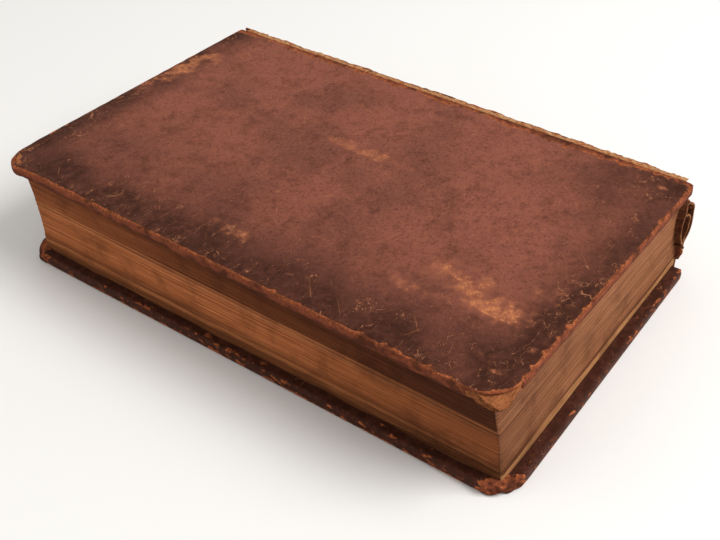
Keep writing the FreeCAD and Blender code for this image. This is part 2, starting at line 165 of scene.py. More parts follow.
# The grid of a cover is finer in a band along its edges
EDGE_BAND = 11.0
EDGE_BAND_SHARE = 0.22
GRID_ACROSS = 128
GRID_ALONG = 196
# Rounded edge of the skin, from the inset outer face: steps outward and down
EDGE_INSET = 0.8
EDGE_PROFILE = [(0.34, -0.08), (0.62, -0.3), (0.8, -0.75), (0.84, -1.5), (0.84, -2.3), (0.82, -3.1),
                (0.74, -3.75), (0.5, -4.2), (0.1, -4.46)]
TURN_IN_STEPS = (0.05, 0.14, 0.3, 0.55, 1.0)
FIRST_FLAT_RING = len(EDGE_PROFILE) + 1
NOISE_GAIN = 1.6


def wave(place, size, seed):
    """Smooth noise from -1 to 1 along a line."""
    return noise.noise(Vector((place / size, seed * 7.31, seed * 3.17))) * NOISE_GAIN


def ripple(x, y, size, seed):
    """Smooth noise from -1 to 1 over a plane."""
    return noise.noise(Vector((x / size, y / size, seed * 5.77))) * NOISE_GAIN


def smooth_step(low, high, value):
    """0 below low, 1 above high and smooth between them."""
    share = min(max((value - low) / (high - low), 0.0), 1.0)
    return share * share * (3.0 - 2.0 * share)


def spread(share, low, high, band, band_share):
    """Place of a grid line, with the lines closer together in a band at each end."""
    if share < band_share:
        return low + band * share / band_share
    if share > 1.0 - band_share:
        return high - band * (1.0 - share) / band_share
    return low + band + (high - low - 2 * band) * (share - band_share) / (1.0 - 2 * band_share)


def past_arc_centre(x, y, low, high, rounds):
    """Nearest corner by its sides, the centre of its arc, and how far a point lies past that centre."""
    side = (1 if x > (low[0] + high[0]) / 2 else -1, 1 if y > (low[1] + high[1]) / 2 else -1)
    reach = rounds[side]
    centre = ((high[0] - reach) if side[0] > 0 else (low[0] + reach),
              (high[1] - reach) if side[1] > 0 else (low[1] + reach))
    return side, centre, ((x - centre[0]) * side[0], (y - centre[1]) * side[1])


def rounded_grid(bm, low, high, rounds, counts, band, band_share):
    """Flat grid whose four corners are drawn in to arcs; rounds go by (x side, y side)."""
    bmesh.ops.create_grid(bm, x_segments=counts[0], y_segments=counts[1], size=0.5)
    for vert in bm.verts:
        x = spread(vert.co.x + 0.5, low[0], high[0], band, band_share)
        y = spread(vert.co.y + 0.5, low[1], high[1], band, band_share)
        side, centre, over = past_arc_centre(x, y, low, high, rounds)
        if over[0] > 0 and over[1] > 0:
            shrink = max(over) / math.hypot(*over)
            x = centre[0] + side[0] * over[0] * shrink
            y = centre[1] + side[1] * over[1] * shrink
        vert.co = (x, y, 0.0)


def outward_from(x, y, low, high, rounds):
    """Direction out of a rounded rectangle at a point of its outline."""
    side, _, past = past_arc_centre(x, y, low, high, rounds)
    over = Vector((max(past[0], 0.0), max(past[1], 0.0)))
    if over.length < 1e-6:
        over = Vector((1.0, 1.0))
    elif over.x == 0 or over.y == 0:
        near_x = min(x - low[0], high[0] - x)
        near_y = min(y - low[1], high[1] - y)
        over = Vector((1.0, 0.0)) if near_x < near_y else Vector((0.0, 1.0))
    over.normalize()
    return Vector((over.x * side[0], over.y * side[1], 0.0))


def rim_start(bm, low, high, rounds):
    """Place of each vertex of the rim of a flat grid, and the way out from it."""
    places = {vert: vert.co.copy() for vert in bm.verts if vert.is_boundary}
    return {vert: (base, outward_from(base.x, base.y, low, high, rounds)) for vert, base in places.items()}


def draw_rim(bm, rim, values):
    """Extrude an open rim once. Each new vertex takes over the value of the one it was drawn from.

    Returns those values, the new rim and the new faces.
    """
    made = bmesh.ops.extrude_edge_only(bm, edges=rim)["geom"]
    carried = {}
    for vert in made:
        if isinstance(vert, bmesh.types.BMVert):
            old = next(edge.other_vert(vert) for edge in vert.link_edges if edge.other_vert(vert) in values)
            carried[vert] = values[old]
    edges = [item for item in made if isinstance(item, bmesh.types.BMEdge)]
    faces = [item for item in made if isinstance(item, bmesh.types.BMFace)]
    return carried, edges, faces


def leather_case(rounds):
    """Closed skin of one cover: outer face, edges, turn-ins and the floor that the pastedown hides."""
    low = (HINGE_X + EDGE_INSET, -HALF_LENGTH + EDGE_INSET)
    high = (FORE_X - EDGE_INSET, HALF_LENGTH - EDGE_INSET)
    inner_rounds = {side: max(reach - EDGE_INSET, 0.4) for side, reach in rounds.items()}
    bm = bmesh.new()
    ring_layer = bm.verts.layers.int.new("ring")
    worn_layers = [bm.verts.layers.float.new(name) for name in ("wear", "scuff", "dark")]
    rounded_grid(bm, low, high, inner_rounds, (GRID_ACROSS, GRID_ALONG), EDGE_BAND, EDGE_BAND_SHARE)
    start = rim_start(bm, low, high, inner_rounds)
    rim = [edge for edge in bm.edges if edge.is_boundary]

    def draw_on(place_of, ring):
        nonlocal rim, start
        start, rim, _ = draw_rim(bm, rim, start)
        for vert, (base, away) in start.items():
            vert.co = place_of(base, away)
            vert[ring_layer] = ring

    for ring, (out, down) in enumerate(EDGE_PROFILE, start=1):
        draw_on(lambda base, away, o=out, d=down: base + away * o + Vector((0, 0, d)), ring)
    window_low = (HINGE_X + JOINT_MARGIN, -HALF_LENGTH + TURN_IN_WIDTH)
    window_high = (FORE_X - TURN_IN_WIDTH, HALF_LENGTH - TURN_IN_WIDTH)

    def inside(base, share, height):
        x = min(max(base.x, window_low[0]), window_high[0])
        y = min(max(base.y, window_low[1]), window_high[1])
        return Vector((base.x + (x - base.x) * share, base.y + (y - base.y) * share, height))

    for ring, share in enumerate(TURN_IN_STEPS, start=FIRST_FLAT_RING):
        draw_on(lambda base, away, s=share: inside(base, s, -COVER_THICKNESS), ring)
    depth = TURN_IN_THICKNESS - COVER_THICKNESS
    draw_on(lambda base, away: inside(base, 1.0, depth), FIRST_FLAT_RING + len(TURN_IN_STEPS))
    bmesh.ops.contextual_create(bm, geom=rim)
    bmesh.ops.remove_doubles(bm, verts=bm.verts, dist=1e-5)
    return bm, ring_layer, worn_layers


TOOTH_SPACING = 1.3
TOOTH_LENGTH = 4.5


def edge_wear(x, y, widths, seed):
    """Millimetres by which a point of the outer face lies past the line where the grain has flaked off."""

    def ragged(side, along, coarse, fine, coarse_depth, fine_depth, offset):
        waver = coarse_depth * wave(along, coarse, seed + offset)
        waver += fine_depth * wave(along, fine, seed + offset + 1)
        return widths[side] * (1 + waver)

    reach = [
        FORE_X - x - ragged("fore", y, 14, 3.1, 0.35, 0.3, 0),
        HALF_LENGTH - y - ragged("head", x, 17, 2.3, 0.4, 0.42, 2),
        HALF_LENGTH + y - ragged("tail", x, 12, 2.7, 0.4, 0.3, 4),
        x - HINGE_X - ragged("spine", y, 15, 3.1, 0.55, 0.3, 6),
    ]
    nearest = reach.index(min(reach))
    along, across = ((y, x), (x, y), (x, y), (y, x))[nearest]
    tooth = max(0.0, noise.noise(Vector((along / TOOTH_SPACING, across / 6.0, seed * 3.3))))
    strength = smooth_step(5.0, 0.5, min(reach)) * (0.6 + 0.6 * wave(along, 21, seed + 8))
    return -min(reach) + TOOTH_LENGTH * tooth * strength


LEVEL_NORMAL = 0.995
SMALL_FACE = 4e-6


def finish_piece(bm, name, body, materials, place=None):
    """Turn a mesh in millimetres into a piece of the book, in place and riding on its body.

    Level faces are shaded flat, apart from the small ones of a fine grid.
    """
    bmesh.ops.transform(bm, matrix=Matrix.Scale(MM, 4) @ (place or Matrix.Identity(4)), verts=bm.verts)
    mesh = bpy.data.meshes.new(name)
    for face in bm.faces:
        fine = len(face.verts) == 4 and face.calc_area() < SMALL_FACE
        face.smooth = abs(face.normal.z) < LEVEL_NORMAL or fine
    bm.to_mesh(mesh)
    bm.free()
    for material in materials:
        mesh.materials.append(material)
    piece = bpy.data.objects.new(name, mesh)
    bpy.context.collection.objects.link(piece)
    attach(piece, body)
    return piece


GRAIN_DARK = (0.043, 0.0125, 0.0065, 1.0)
GRAIN_BROWN = (0.145, 0.047, 0.032, 1.0)
GRAIN_RED = (0.24, 0.074, 0.046, 1.0)
SCUFF_TAN = (0.52, 0.19, 0.072, 1.0)
SCUFF_BLOOM = (0.36, 0.115, 0.056, 1.0)
CRACK_PALE = (0.43, 0.165, 0.078, 1.0)
FLESH_ORANGE = (0.44, 0.128, 0.045, 1.0)
FLESH_BROWN = (0.2, 0.052, 0.018, 1.0)
FLESH_DARK = (0.06, 0.018, 0.009, 1.0)
FLESH_RUST = (0.2, 0.05, 0.025, 1.0)


def mix_colour(tree, factor, first, second, blend="MIX"):
    """Colour mixed by a factor; each colour is a socket or a fixed value."""
    item = put(tree, "ShaderNodeMix", data_type="RGBA", blend_type=blend)
    for socket, value in ((item.inputs[0], factor), (item.inputs[6], first), (item.inputs[7], second)):
        if isinstance(value, bpy.types.NodeSocket):
            tree.links.new(value, socket)
        else:
            socket.default_value = value
    return item.outputs[2]


def sums(tree, operation, first, second, third=None):
    """One arithmetic step on masks; each term is a socket or a number."""
    item = put(tree, "ShaderNodeMath", operation=operation)
    for socket, value in zip(item.inputs, (first, second, third)):
        if isinstance(value, bpy.types.NodeSocket):
            tree.links.new(value, socket)
        elif value is not None:
            socket.default_value = value
    return item.outputs[0]


def ease(tree, value, low, high, start=0.0, end=1.0):
    """Value eased from one level to another between two limits."""
    item = put(tree, "ShaderNodeMapRange", {
        "Value": value, "From Min": low, "From Max": high, "To Min": start, "To Max": end},
        interpolation_type="SMOOTHSTEP")
    return item.outputs["Result"]


def tinted(tree, colour, tone, value, low, high, start=0.0, end=1.0, blend="MIX"):
    """Colour turned towards a tone as a value goes from one level to another."""
    return mix_colour(tree, ease(tree, value, low, high, start, end), colour, tone, blend)


def speckle(tree, vector, scale, detail, roughness):
    """Smooth noise about 0.5, with its scale in waves a millimetre."""
    item = put(tree, "ShaderNodeTexNoise", {
        "Vector": vector, "Scale": scale, "Detail": detail, "Roughness": roughness})
    return item.outputs["Fac"]


def in_millimetres(tree, stretch=(1.0, 1.0, 1.0)):
    """The piece's own coordinates in millimetres, stretched if a pattern runs one way."""
    coordinates = put(tree, "ShaderNodeTexCoord")
    mapping = put(tree, "ShaderNodeMapping", {
        "Vector": coordinates.outputs["Object"], "Scale": tuple(value / MM for value in stretch)})
    return mapping.outputs["Vector"]


def shifted(tree, value, centre, gain):
    """A value taken about its centre and multiplied."""
    return sums(tree, "MULTIPLY", sums(tree, "SUBTRACT", value, centre), gain)


def mottled_grain(group, vector, dark, middle, pitted):
    """Brown and red grain, darkened where the attribute says so, with pits and pale points."""
    broad = speckle(group, vector, 0.026, 6.0, 0.62)
    grain = tinted(group, GRAIN_BROWN, GRAIN_RED, broad, 0.36, 0.58, 0.3, 1.0)
    grain = tinted(group, grain, GRAIN_DARK, middle, 0.44, 0.75, 0.0, 0.45)
    grain = tinted(group, grain, SCUFF_TAN, pitted, 0.47, 0.3, 0.0, 0.2)
    uneven = speckle(group, vector, 0.3, 6.0, 0.75)
    darkened = sums(group, "MULTIPLY", dark, ease(group, uneven, 0.36, 0.62, 0.8, 1.06))
    grain = mix_colour(group, darkened, grain, GRAIN_DARK)
    return tinted(group, grain, GRAIN_DARK, pitted, 0.52, 0.68, 0.0, 0.6)


def rubbed_grain(group, vector, scuff, grain):
    """Scuffs: a reddish bloom, with grains scraped through in it, and a few pale flecks elsewhere."""
    rubbed = sums(group, "ADD", speckle(group, vector, 0.25, 9.0, 0.75), scuff)
    bloom = ease(group, rubbed, 0.68, 0.95)
    grain = mix_colour(group, sums(group, "MULTIPLY", bloom, 0.62), grain, SCUFF_BLOOM)
    scraped = speckle(group, vector, 0.62, 7.0, 0.85)
    scraped = sums(group, "ADD", scraped, sums(group, "MULTIPLY", bloom, 0.17))
    scraped = sums(group, "MULTIPLY", ease(group, scraped, 0.63, 0.74), bloom)
    grain = mix_colour(group, sums(group, "MULTIPLY", scraped, 0.9), grain, SCUFF_TAN)
    dots = speckle(group, vector, 1.1, 2.0, 0.7)
    dot_field = ease(group, speckle(group, vector, 0.05, 2.0, 0.5), 0.42, 0.7, 0.0, 0.05)
    flecks = ease(group, sums(group, "ADD", dots, dot_field), 0.76, 0.8, 0.0, 0.6)
    return mix_colour(group, flecks, grain, SCUFF_TAN)


def scratched_grain(group, vector, grain):
    """Light scratches, in two directions."""
    for turn in (0.75, -0.4):
        run = put(group, "ShaderNodeMapping", {
            "Vector": vector, "Location": (turn * 90, 0.0, 0.0), "Rotation": (0.0, 0.0, turn),
            "Scale": (16.0, 1.0, 1.0)}, vector_type="TEXTURE").outputs[0]
        scored = ease(group, speckle(group, run, 1.15, 2.0, 0.6), 0.67, 0.75, 0.0, 0.34)
        spared = ease(group, speckle(group, vector, 0.06, 3.0, 0.6), 0.46, 0.6)
        grain = mix_colour(group, sums(group, "MULTIPLY", scored, spared), grain, SCUFF_TAN)
    return grain


def moved_by(group, vector, bend, amount):
    """Coordinates warped by a noise of vectors."""
    warp = put(group, "ShaderNodeVectorMath", {0: bend}, operation="SCALE")
    warp.inputs["Scale"].default_value = amount
    return put(group, "ShaderNodeVectorMath", {0: vector, 1: warp.outputs[0]}, operation="ADD").outputs[0]


def cell_lines(group, vector, scale, width):
    """Lines between the cells of a cell pattern, as wide as given."""
    cells = put(group, "ShaderNodeTexVoronoi", {"Vector": vector, "Scale": scale}, feature="DISTANCE_TO_EDGE")
    return sums(group, "LESS_THAN", cells.outputs["Distance"], width)


def cracked_grain(group, vector, dark):
    """Fine cracks drawn out across the board, and hair cracks that run in from the fore-edge."""
    bend = put(group, "ShaderNodeTexNoise", {
        "Vector": vector, "Scale": 0.13, "Detail": 5.0, "Roughness": 0.62}).outputs["Color"]
    drawn = put(group, "ShaderNodeVectorMath", {0: moved_by(group, vector, bend, 8.0)}, operation="MULTIPLY")
    drawn.inputs[1].default_value = (0.42, 1.0, 1.0)
    broken = ease(group, speckle(group, vector, 0.22, 3.0, 0.6), 0.44, 0.6)
    # More of them towards the edges, but few on the dark leather of the back cover
    near_edge = ease(group, dark, 0.0, 0.8, -0.05, 0.1)
    near_edge = sums(group, "SUBTRACT", near_edge, ease(group, dark, 0.95, 1.0, 0.0, 0.13))
    crack_field = sums(group, "ADD", speckle(group, vector, 0.04, 3.0, 0.6), near_edge)
    cracks = 0.0
    for scale, thin in ((0.13, 0.014), (0.36, 0.016)):
        width = sums(group, "MULTIPLY", ease(group, crack_field, 0.52, 0.68, 0.0, thin), broken)
        cracks = sums(group, "MAXIMUM", cell_lines(group, drawn.outputs[0], scale, width), cracks)
    slanted = put(group, "ShaderNodeMapping", {
        "Vector": vector, "Rotation": (0.0, 0.0, 0.5), "Scale": (0.16, 1.0, 1.0)}).outputs[0]
    combed = moved_by(group, slanted, bend, 3.0)
    hair_field = ease(group, sums(group, "ADD", speckle(group, vector, 0.09, 3.0, 0.6), near_edge), 0.5, 0.62)
    width = sums(group, "MULTIPLY", sums(group, "MULTIPLY", hair_field, broken), 0.011)
    return sums(group, "MAXIMUM", cell_lines(group, combed, 0.3, width), cracks)


def bare_flesh(group, vector, torn, fibre, pitted):
    """Orange flesh, rusty and then dark the deeper it is worn, with stains and pits."""
    stain = speckle(group, vector, 0.13, 3.0, 0.6)
    flesh = tinted(group, FLESH_BROWN, FLESH_ORANGE, fibre, 0.36, 0.64)
    flesh = tinted(group, flesh, FLESH_RUST, torn, 0.9, 2.0, 0.0, 0.85)
    flesh = tinted(group, flesh, FLESH_DARK, torn, 2.2, 3.9, 0.0, 0.9)
    flesh = tinted(group, flesh, FLESH_DARK, stain, 0.47, 0.68, 0.0, 0.85)
    return tinted(group, flesh, FLESH_DARK, pitted, 0.5, 0.66, 0.0, 0.7)


def calf_colours():
    """Node group: dark grain with mottling, scuffs, scratches and cracks, over flesh where it is worn."""
    group = bpy.data.node_groups.new("calf_colours", "ShaderNodeTree")
    for name, kind in (("Wear", "NodeSocketFloat"), ("Scuff", "NodeSocketFloat"), ("Dark", "NodeSocketFloat"),
                       ("Vector", "NodeSocketVector")):
        group.interface.new_socket(name, in_out="INPUT", socket_type=kind)
    for name, kind in (("Colour", "NodeSocketColor"), ("Roughness", "NodeSocketFloat"),
                       ("Height", "NodeSocketFloat")):
        group.interface.new_socket(name, in_out="OUTPUT", socket_type=kind)
    given = put(group, "NodeGroupInput").outputs
    vector = given["Vector"]
    # Ragged edge of the grain
    torn = sums(group, "ADD", given["Wear"], shifted(group, speckle(group, vector, 0.35, 3.0, 0.6), 0.5, 1.6))
    torn = sums(group, "ADD", torn, shifted(group, speckle(group, vector, 1.6, 4.0, 0.65), 0.5, 1.3))
    bare = ease(group, torn, -0.02, 0.16)
    # Colour
    middle = speckle(group, vector, 0.16, 5.0, 0.65)
    pitted = speckle(group, vector, 1.0, 4.0, 0.7)
    fibre = speckle(group, vector, 0.9, 5.0, 0.7)
    grain = mottled_grain(group, vector, given["Dark"], middle, pitted)
    grain = rubbed_grain(group, vector, given["Scuff"], grain)
    grain = scratched_grain(group, vector, grain)
    cracks = cracked_grain(group, vector, given["Dark"])
    grain = mix_colour(group, sums(group, "MULTIPLY", cracks, 0.7), grain, CRACK_PALE)
    colour = mix_colour(group, bare, grain, bare_flesh(group, vector, torn, fibre, pitted))
    # Relief and finish
    pores = put(group, "ShaderNodeTexVoronoi", {"Vector": vector, "Scale": 2.3})
    grain_height = sums(group, "MULTIPLY", pores.outputs["Distance"], 0.12)
    grain_height = sums(group, "ADD", grain_height, sums(group, "MULTIPLY", middle, 0.5))
    grain_height = sums(group, "SUBTRACT", grain_height, sums(group, "MULTIPLY", cracks, 0.35))
    flesh_height = sums(group, "SUBTRACT", sums(group, "MULTIPLY", fibre, 0.9), 0.6)
    height = put(group, "ShaderNodeMix", {0: bare, 2: grain_height, 3: flesh_height}, data_type="FLOAT")
    rough_grain = ease(group, middle, 0.3, 0.7, 0.5, 0.68)
    roughness = put(group, "ShaderNodeMix", {0: bare, 2: rough_grain, 3: 0.95}, data_type="FLOAT")
    ends = put(group, "NodeGroupOutput")
    for name, socket in (("Colour", colour), ("Roughness", roughness.outputs[0]),
                         ("Height", height.outputs[0])):
        group.links.new(socket, ends.inputs[name])
    return group


CALF_COLOURS = calf_colours()


def calf_material(name):
    """Worn calf that reads how worn, scuffed and darkened each point is from the piece's attributes."""
    material, tree, surface = new_material(name)
    group = put(tree, "ShaderNodeGroup", node_tree=CALF_COLOURS)
    tree.links.new(in_millimetres(tree), group.inputs["Vector"])
    for socket, attribute in (("Wear", "wear"), ("Scuff", "scuff"), ("Dark", "dark")):
        reader = put(tree, "ShaderNodeAttribute", attribute_name=attribute)
        tree.links.new(reader.outputs["Fac"], group.inputs[socket])
    bump = put(tree, "ShaderNodeBump", {
        "Height": group.outputs["Height"], "Strength": 0.85, "Distance": 0.35 * MM})
    tree.links.new(group.outputs["Colour"], surface.inputs["Base Color"])
    tree.links.new(group.outputs["Roughness"], surface.inputs["Roughness"])
    tree.links.new(bump.outputs["Normal"], surface.inputs["Normal"])
    surface.inputs["Specular IOR Level"].default_value = 0.09
    return material


WORN_CALF = calf_material("worn_calf")

FRONT_ROUNDS = {(1, -1): 10.0, (1, 1): 13.5, (-1, -1): 2.0, (-1, 1): 2.6}
BACK_ROUNDS = {(1, -1): 9.5, (1, 1): 14.0, (-1, -1): 2.0, (-1, 1): 2.0}
FRONT_WIDTHS = {"fore": 0.5, "head": 0.8, "tail": 0.5, "spine": 2.9}
BACK_WIDTHS = {"fore": 1.6, "head": 1.4, "tail": 1.4, "spine": 1.0}
# Rubbed places of the front cover: x, y, reach across, reach along and strength
FRONT_SCUFFS = {
    "fore-edge, middle": (55, -8, 5, 17, 0.33),
    "centre, streak": (-16, -5, 3.5, 26, 0.3),
    "centre, bloom": (-20, -8, 12, 45, 0.1),
    "tail, middle": (-12, -112, 20, 6, 0.34),
    "tail, towards the spine": (-36, -106, 18, 9, 0.34),
    "near corner, long streak": (30, 74, 6, 15, 0.3),
    "near corner, end of the streak": (37, 90, 5, 9, 0.3),
    "near corner, start of the streak": (43, 60, 4, 9, 0.27),
    "near corner, bloom": (34, 78, 17, 30, 0.14),
    "near corner, spot": (37, 101, 4, 6, 0.3),
    "fore-edge, towards the tail": (60, -96, 10, 12, 0.12),
    "head, bloom": (20, 103, 12, 8, 0.2),
    "spine corner, chip": (-60.9, 106.9, 1.6, 3.2, 0.35),
    "head half, bloom": (4, 40, 30, 50, 0.06),
    "near corner, chip": (62, 106, 2, 3, 0.3),
    "head, streak": (48, 112, 9, 2.5, 0.2),
}
MOST_RUBBED = 0.36


def add_scuffs(x, y, scuffs):
    """How much a point is rubbed, from the rubbed places."""
    total = 0.0
    for centre_x, centre_y, across, along, strength in scuffs.values():
        total += strength * math.exp(-(((x - centre_x) / across) ** 2) - ((y - centre_y) / along) ** 2)
    return min(total, MOST_RUBBED) * (1.0 + 0.35 * ripple(x, y, 6.0, 11))


FRONT_TIP_WEAR = 6.6
JOINT_TIP_WEAR = 4.2
GRAIN_DEPTH = 0.28
COVER_WARP = 0.12
# The skin at the bare head tip is tucked in under the board, and the tail tip droops
TUCK_REACH = 14.0
TUCK_DEPTH = 3.0
TIP_DROOP = (0.5, -0.9, -1.5)
TIP_DROOP_REACH = 11.0


def front_darkness(x, y):
    """How much darker the grain of the front cover is: towards the fore-edge, head and tail, most at the head
    and fore-edge corner, a little across the board towards the fore-edge, and round the head of the joint.
    """
    dark = smooth_step(30, 5, min(FORE_X - x, (HALF_LENGTH - y) * 1.2, (HALF_LENGTH + y) * 1.5))
    dark = max(dark, smooth_step(46, 12, math.hypot(FORE_X - x, (HALF_LENGTH - y) * 0.8)))
    dark = 0.82 * dark + 0.22 * smooth_step(-10, 60, x)
    dark = max(dark, 0.7 * smooth_step(80, 8, math.hypot(x - HINGE_X, (y - HALF_LENGTH) * 1.3)))
    return min(dark * (1.0 + 0.35 * ripple(x, y, 17, 10)), 0.95)


def make_front_leather():
    """Skin of the front cover, its corners drooping and its joint edge torn."""
    bm, ring_layer, (wear_layer, scuff_layer, dark_layer) = leather_case(FRONT_ROUNDS)
    for vert in bm.verts:
        x, y, ring = vert.co.x, vert.co.y, vert[ring_layer]
        worn = edge_wear(x, y, FRONT_WIDTHS, 1)
        tail_tip = math.hypot(x - FORE_X, y + HALF_LENGTH)
        head_tip = math.hypot(x - FORE_X, y - HALF_LENGTH)
        joint_tip = math.hypot(x - HINGE_X, y - HALF_LENGTH)
        if ring == 0:
            worn = max(worn, FRONT_TIP_WEAR - tail_tip + 1.2 * ripple(x, y, 2.6, 3))
            worn = max(worn, FRONT_TIP_WEAR - head_tip + 0.8 * ripple(x, y, 2.2, 4))
            worn = max(worn, JOINT_TIP_WEAR - joint_tip + 1.0 * ripple(x, y, 2.2, 5))
            vert[wear_layer] = worn
            vert[scuff_layer] = add_scuffs(x, y, FRONT_SCUFFS)
            vert.co.z -= GRAIN_DEPTH * smooth_step(-0.3, 0.5, worn)
            vert.co.z += COVER_WARP * ripple(x, y, 46, 6) * smooth_step(0, 12, -worn)
            vert.co.z += 0.05 * ripple(x, y, 5, 7)
        elif ring < FIRST_FLAT_RING:
            vert[wear_layer] = 1.15 - 0.6 * vert.co.z + 0.9 * ripple(x + y, vert.co.z * 4, 5, 8)
            if head_tip < TUCK_REACH:
                tuck = TUCK_DEPTH * smooth_step(TUCK_REACH, 10.0, head_tip)
                tuck *= smooth_step(-0.7, -1.6, vert.co.z)
                vert.co -= Vector((tuck, tuck, 0.0)) / math.sqrt(2)
            inner_x = min(max(x, HINGE_X + 8), FORE_X - 14)
            inner_y = min(max(y, -HALF_LENGTH + 14), HALF_LENGTH - 14)
            away = Vector((x, y, 0)) - Vector((inner_x, inner_y, 0))
            if away.length > 1e-6:
                vert.co += away.normalized() * (0.16 * ripple(x + y, vert.co.z, 4.2, 9) - 0.12)
        else:
            vert[wear_layer] = -1.5 + 1.6 * smooth_step(3.0, 0.0, -worn)
        vert[dark_layer] = front_darkness(x, y)
        outside = smooth_step(0.0, 3.0, max(x - 66.0, abs(y) - 108.0))
        pull = math.exp(-((tail_tip / TIP_DROOP_REACH) ** 2))
        vert.co += Vector((TIP_DROOP[0] * pull, TIP_DROOP[1] * pull, TIP_DROOP[2] * pull * outside))
    bm.normal_update()
    place = Matrix.Translation((0, 0, BOOK_HIGH))
    piece = finish_piece(bm, "front_cover_skin", "front_cover", [WORN_CALF], place)
    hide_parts("front_leather")


make_front_leather()


def make_back_leather():
    """Skin of the back cover, turned over so that its outer face lies down. Its two tips are peeled."""
    bm, ring_layer, (wear_layer, scuff_layer, dark_layer) = leather_case(BACK_ROUNDS)
    low, high = (HINGE_X, -HALF_LENGTH), (FORE_X, HALF_LENGTH)
    for vert in bm.verts:
        x, y, ring = vert.co.x, vert.co.y, vert[ring_layer]
        worn = edge_wear(x, y, BACK_WIDTHS, 21)
        tail_tip = math.hypot(x - FORE_X, y + HALF_LENGTH)
        head_tip = math.hypot(x - FORE_X, y - HALF_LENGTH)
        if ring == 0:
            vert[wear_layer] = worn
            vert[scuff_layer] = 0.1 + 0.12 * ripple(x, y, 40, 22)
        elif ring < FIRST_FLAT_RING:
            low_down = smooth_step(-1.9, -0.2, vert.co.z)
            vert[wear_layer] = 2.0 * low_down + 1.9 * ripple(x + y, vert.co.z * 2, 2.6, 23) - 0.75
            peeled = max(smooth_step(16.0, 7.0, tail_tip), smooth_step(13.0, 8.0, head_tip))
            vert[wear_layer] += peeled * (3.3 + 2.4 * ripple(x - y, vert.co.z * 3, 2.6, 27))
            swell = peeled * (0.5 + 0.9 * ripple(x - y, vert.co.z * 2.5, 5.5, 25))
            vert.co += outward_from(x, y, low, high, BACK_ROUNDS) * swell
        else:
            vert[wear_layer] = -1.6 + 2.0 * ripple(x, y, 6, 24) * smooth_step(4.0, 0.5, -worn)
            peeled = max(smooth_step(13.0, 8.0, tail_tip), smooth_step(12.0, 7.5, head_tip))
            vert[wear_layer] += peeled * (3.3 + 2.6 * ripple(x, y, 2.4, 28))
            vert.co.z -= peeled * (0.35 + 0.5 * ripple(x, y, 3.0, 26)) * smooth_step(0.0, 1.0, worn + 9.0)
        vert[dark_layer] = 1.0 if ring else 0.5
    turned = Matrix.Scale(-1, 4, (0, 0, 1))
    bmesh.ops.reverse_faces(bm, faces=bm.faces)
    place = BACK_PLACE @ turned
    piece = finish_piece(bm, "back_cover_skin", "back_cover", [WORN_CALF], place)
    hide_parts("back_leather")


make_back_leather()


# The boards
# Both boards are pasteboard, 3.2 mm thick, laminated from waste paper. The back one keeps the shape of
# its solid, hidden in its leather. The front one has lost its leather at the head corner, where the
# bare layers have frayed and slope down to a soft, curling tip.
board_low, board_high = (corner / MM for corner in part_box("front_board"))
BOARD_TIP_REACH = 7.6
BOARD_TIP_SLOPE = 0.42
LAYER_THICKNESS = 0.42
BOARD_ROWS = 12
BOARD_GRID = (72, 104)
BOARD_BAND = 12.0
BOARD_BAND_SHARE = 0.34
BOARD_ROUNDS = {(1, -1): 11.0, (1, 1): 2.4, (-1, -1): 0.4, (-1, 1): 0.4}

BOARD_TAN = (0.36, 0.125, 0.046, 1.0)
BOARD_BROWN = (0.23, 0.075, 0.026, 1.0)
BOARD_SHADE = (0.09, 0.028, 0.011, 1.0)


DULL_SPECULAR = 0.08


def dress_surface(tree, surface, colour, height, relief, roughness):
    """Give a dull surface its colour and its relief: strength, and depth in millimetres."""
    strength, depth = relief
    bump = put(tree, "ShaderNodeBump", {"Height": height, "Strength": strength, "Distance": depth * MM})
    tree.links.new(colour, surface.inputs["Base Color"])
    tree.links.new(bump.outputs["Normal"], surface.inputs["Normal"])
    surface.inputs["Roughness"].default_value = roughness
    surface.inputs["Specular IOR Level"].default_value = DULL_SPECULAR


def fibre_material(name, light, middle, dark, stretch):
    """Rough fibrous stuff in three tones; the stretch makes its fibres run one way."""
    material, tree, surface = new_material(name)
    vector = in_millimetres(tree, stretch)
    strands = speckle(tree, vector, 0.9, 5.0, 0.7)
    patches = speckle(tree, in_millimetres(tree), 0.16, 3.0, 0.6)
    colour = tinted(tree, middle, light, strands, 0.36, 0.62)
    colour = tinted(tree, colour, dark, patches, 0.52, 0.74, 0.0, 0.8)
    dress_surface(tree, surface, colour, strands, (0.8, 0.4), 0.95)
    return material


BARE_BOARD = fibre_material("bare_pasteboard", BOARD_TAN, BOARD_BROWN, BOARD_SHADE, (1.0, 1.0, 2.6))


def tip_drop(x, y):
    """How far the worn corner of the board slopes down, in ragged steps of one layer of paper."""
    inward = (board_high.x - x + board_high.y - y) / math.sqrt(2)
    slope = (BOARD_TIP_REACH + 1.2 * ripple(x, y, 3.0, 31) - inward) * BOARD_TIP_SLOPE
    if slope <= 0:
        return 0.0
    steps = slope / LAYER_THICKNESS
    whole = math.floor(steps)
    return (whole + smooth_step(0.55, 1.0, steps - whole)) * LAYER_THICKNESS


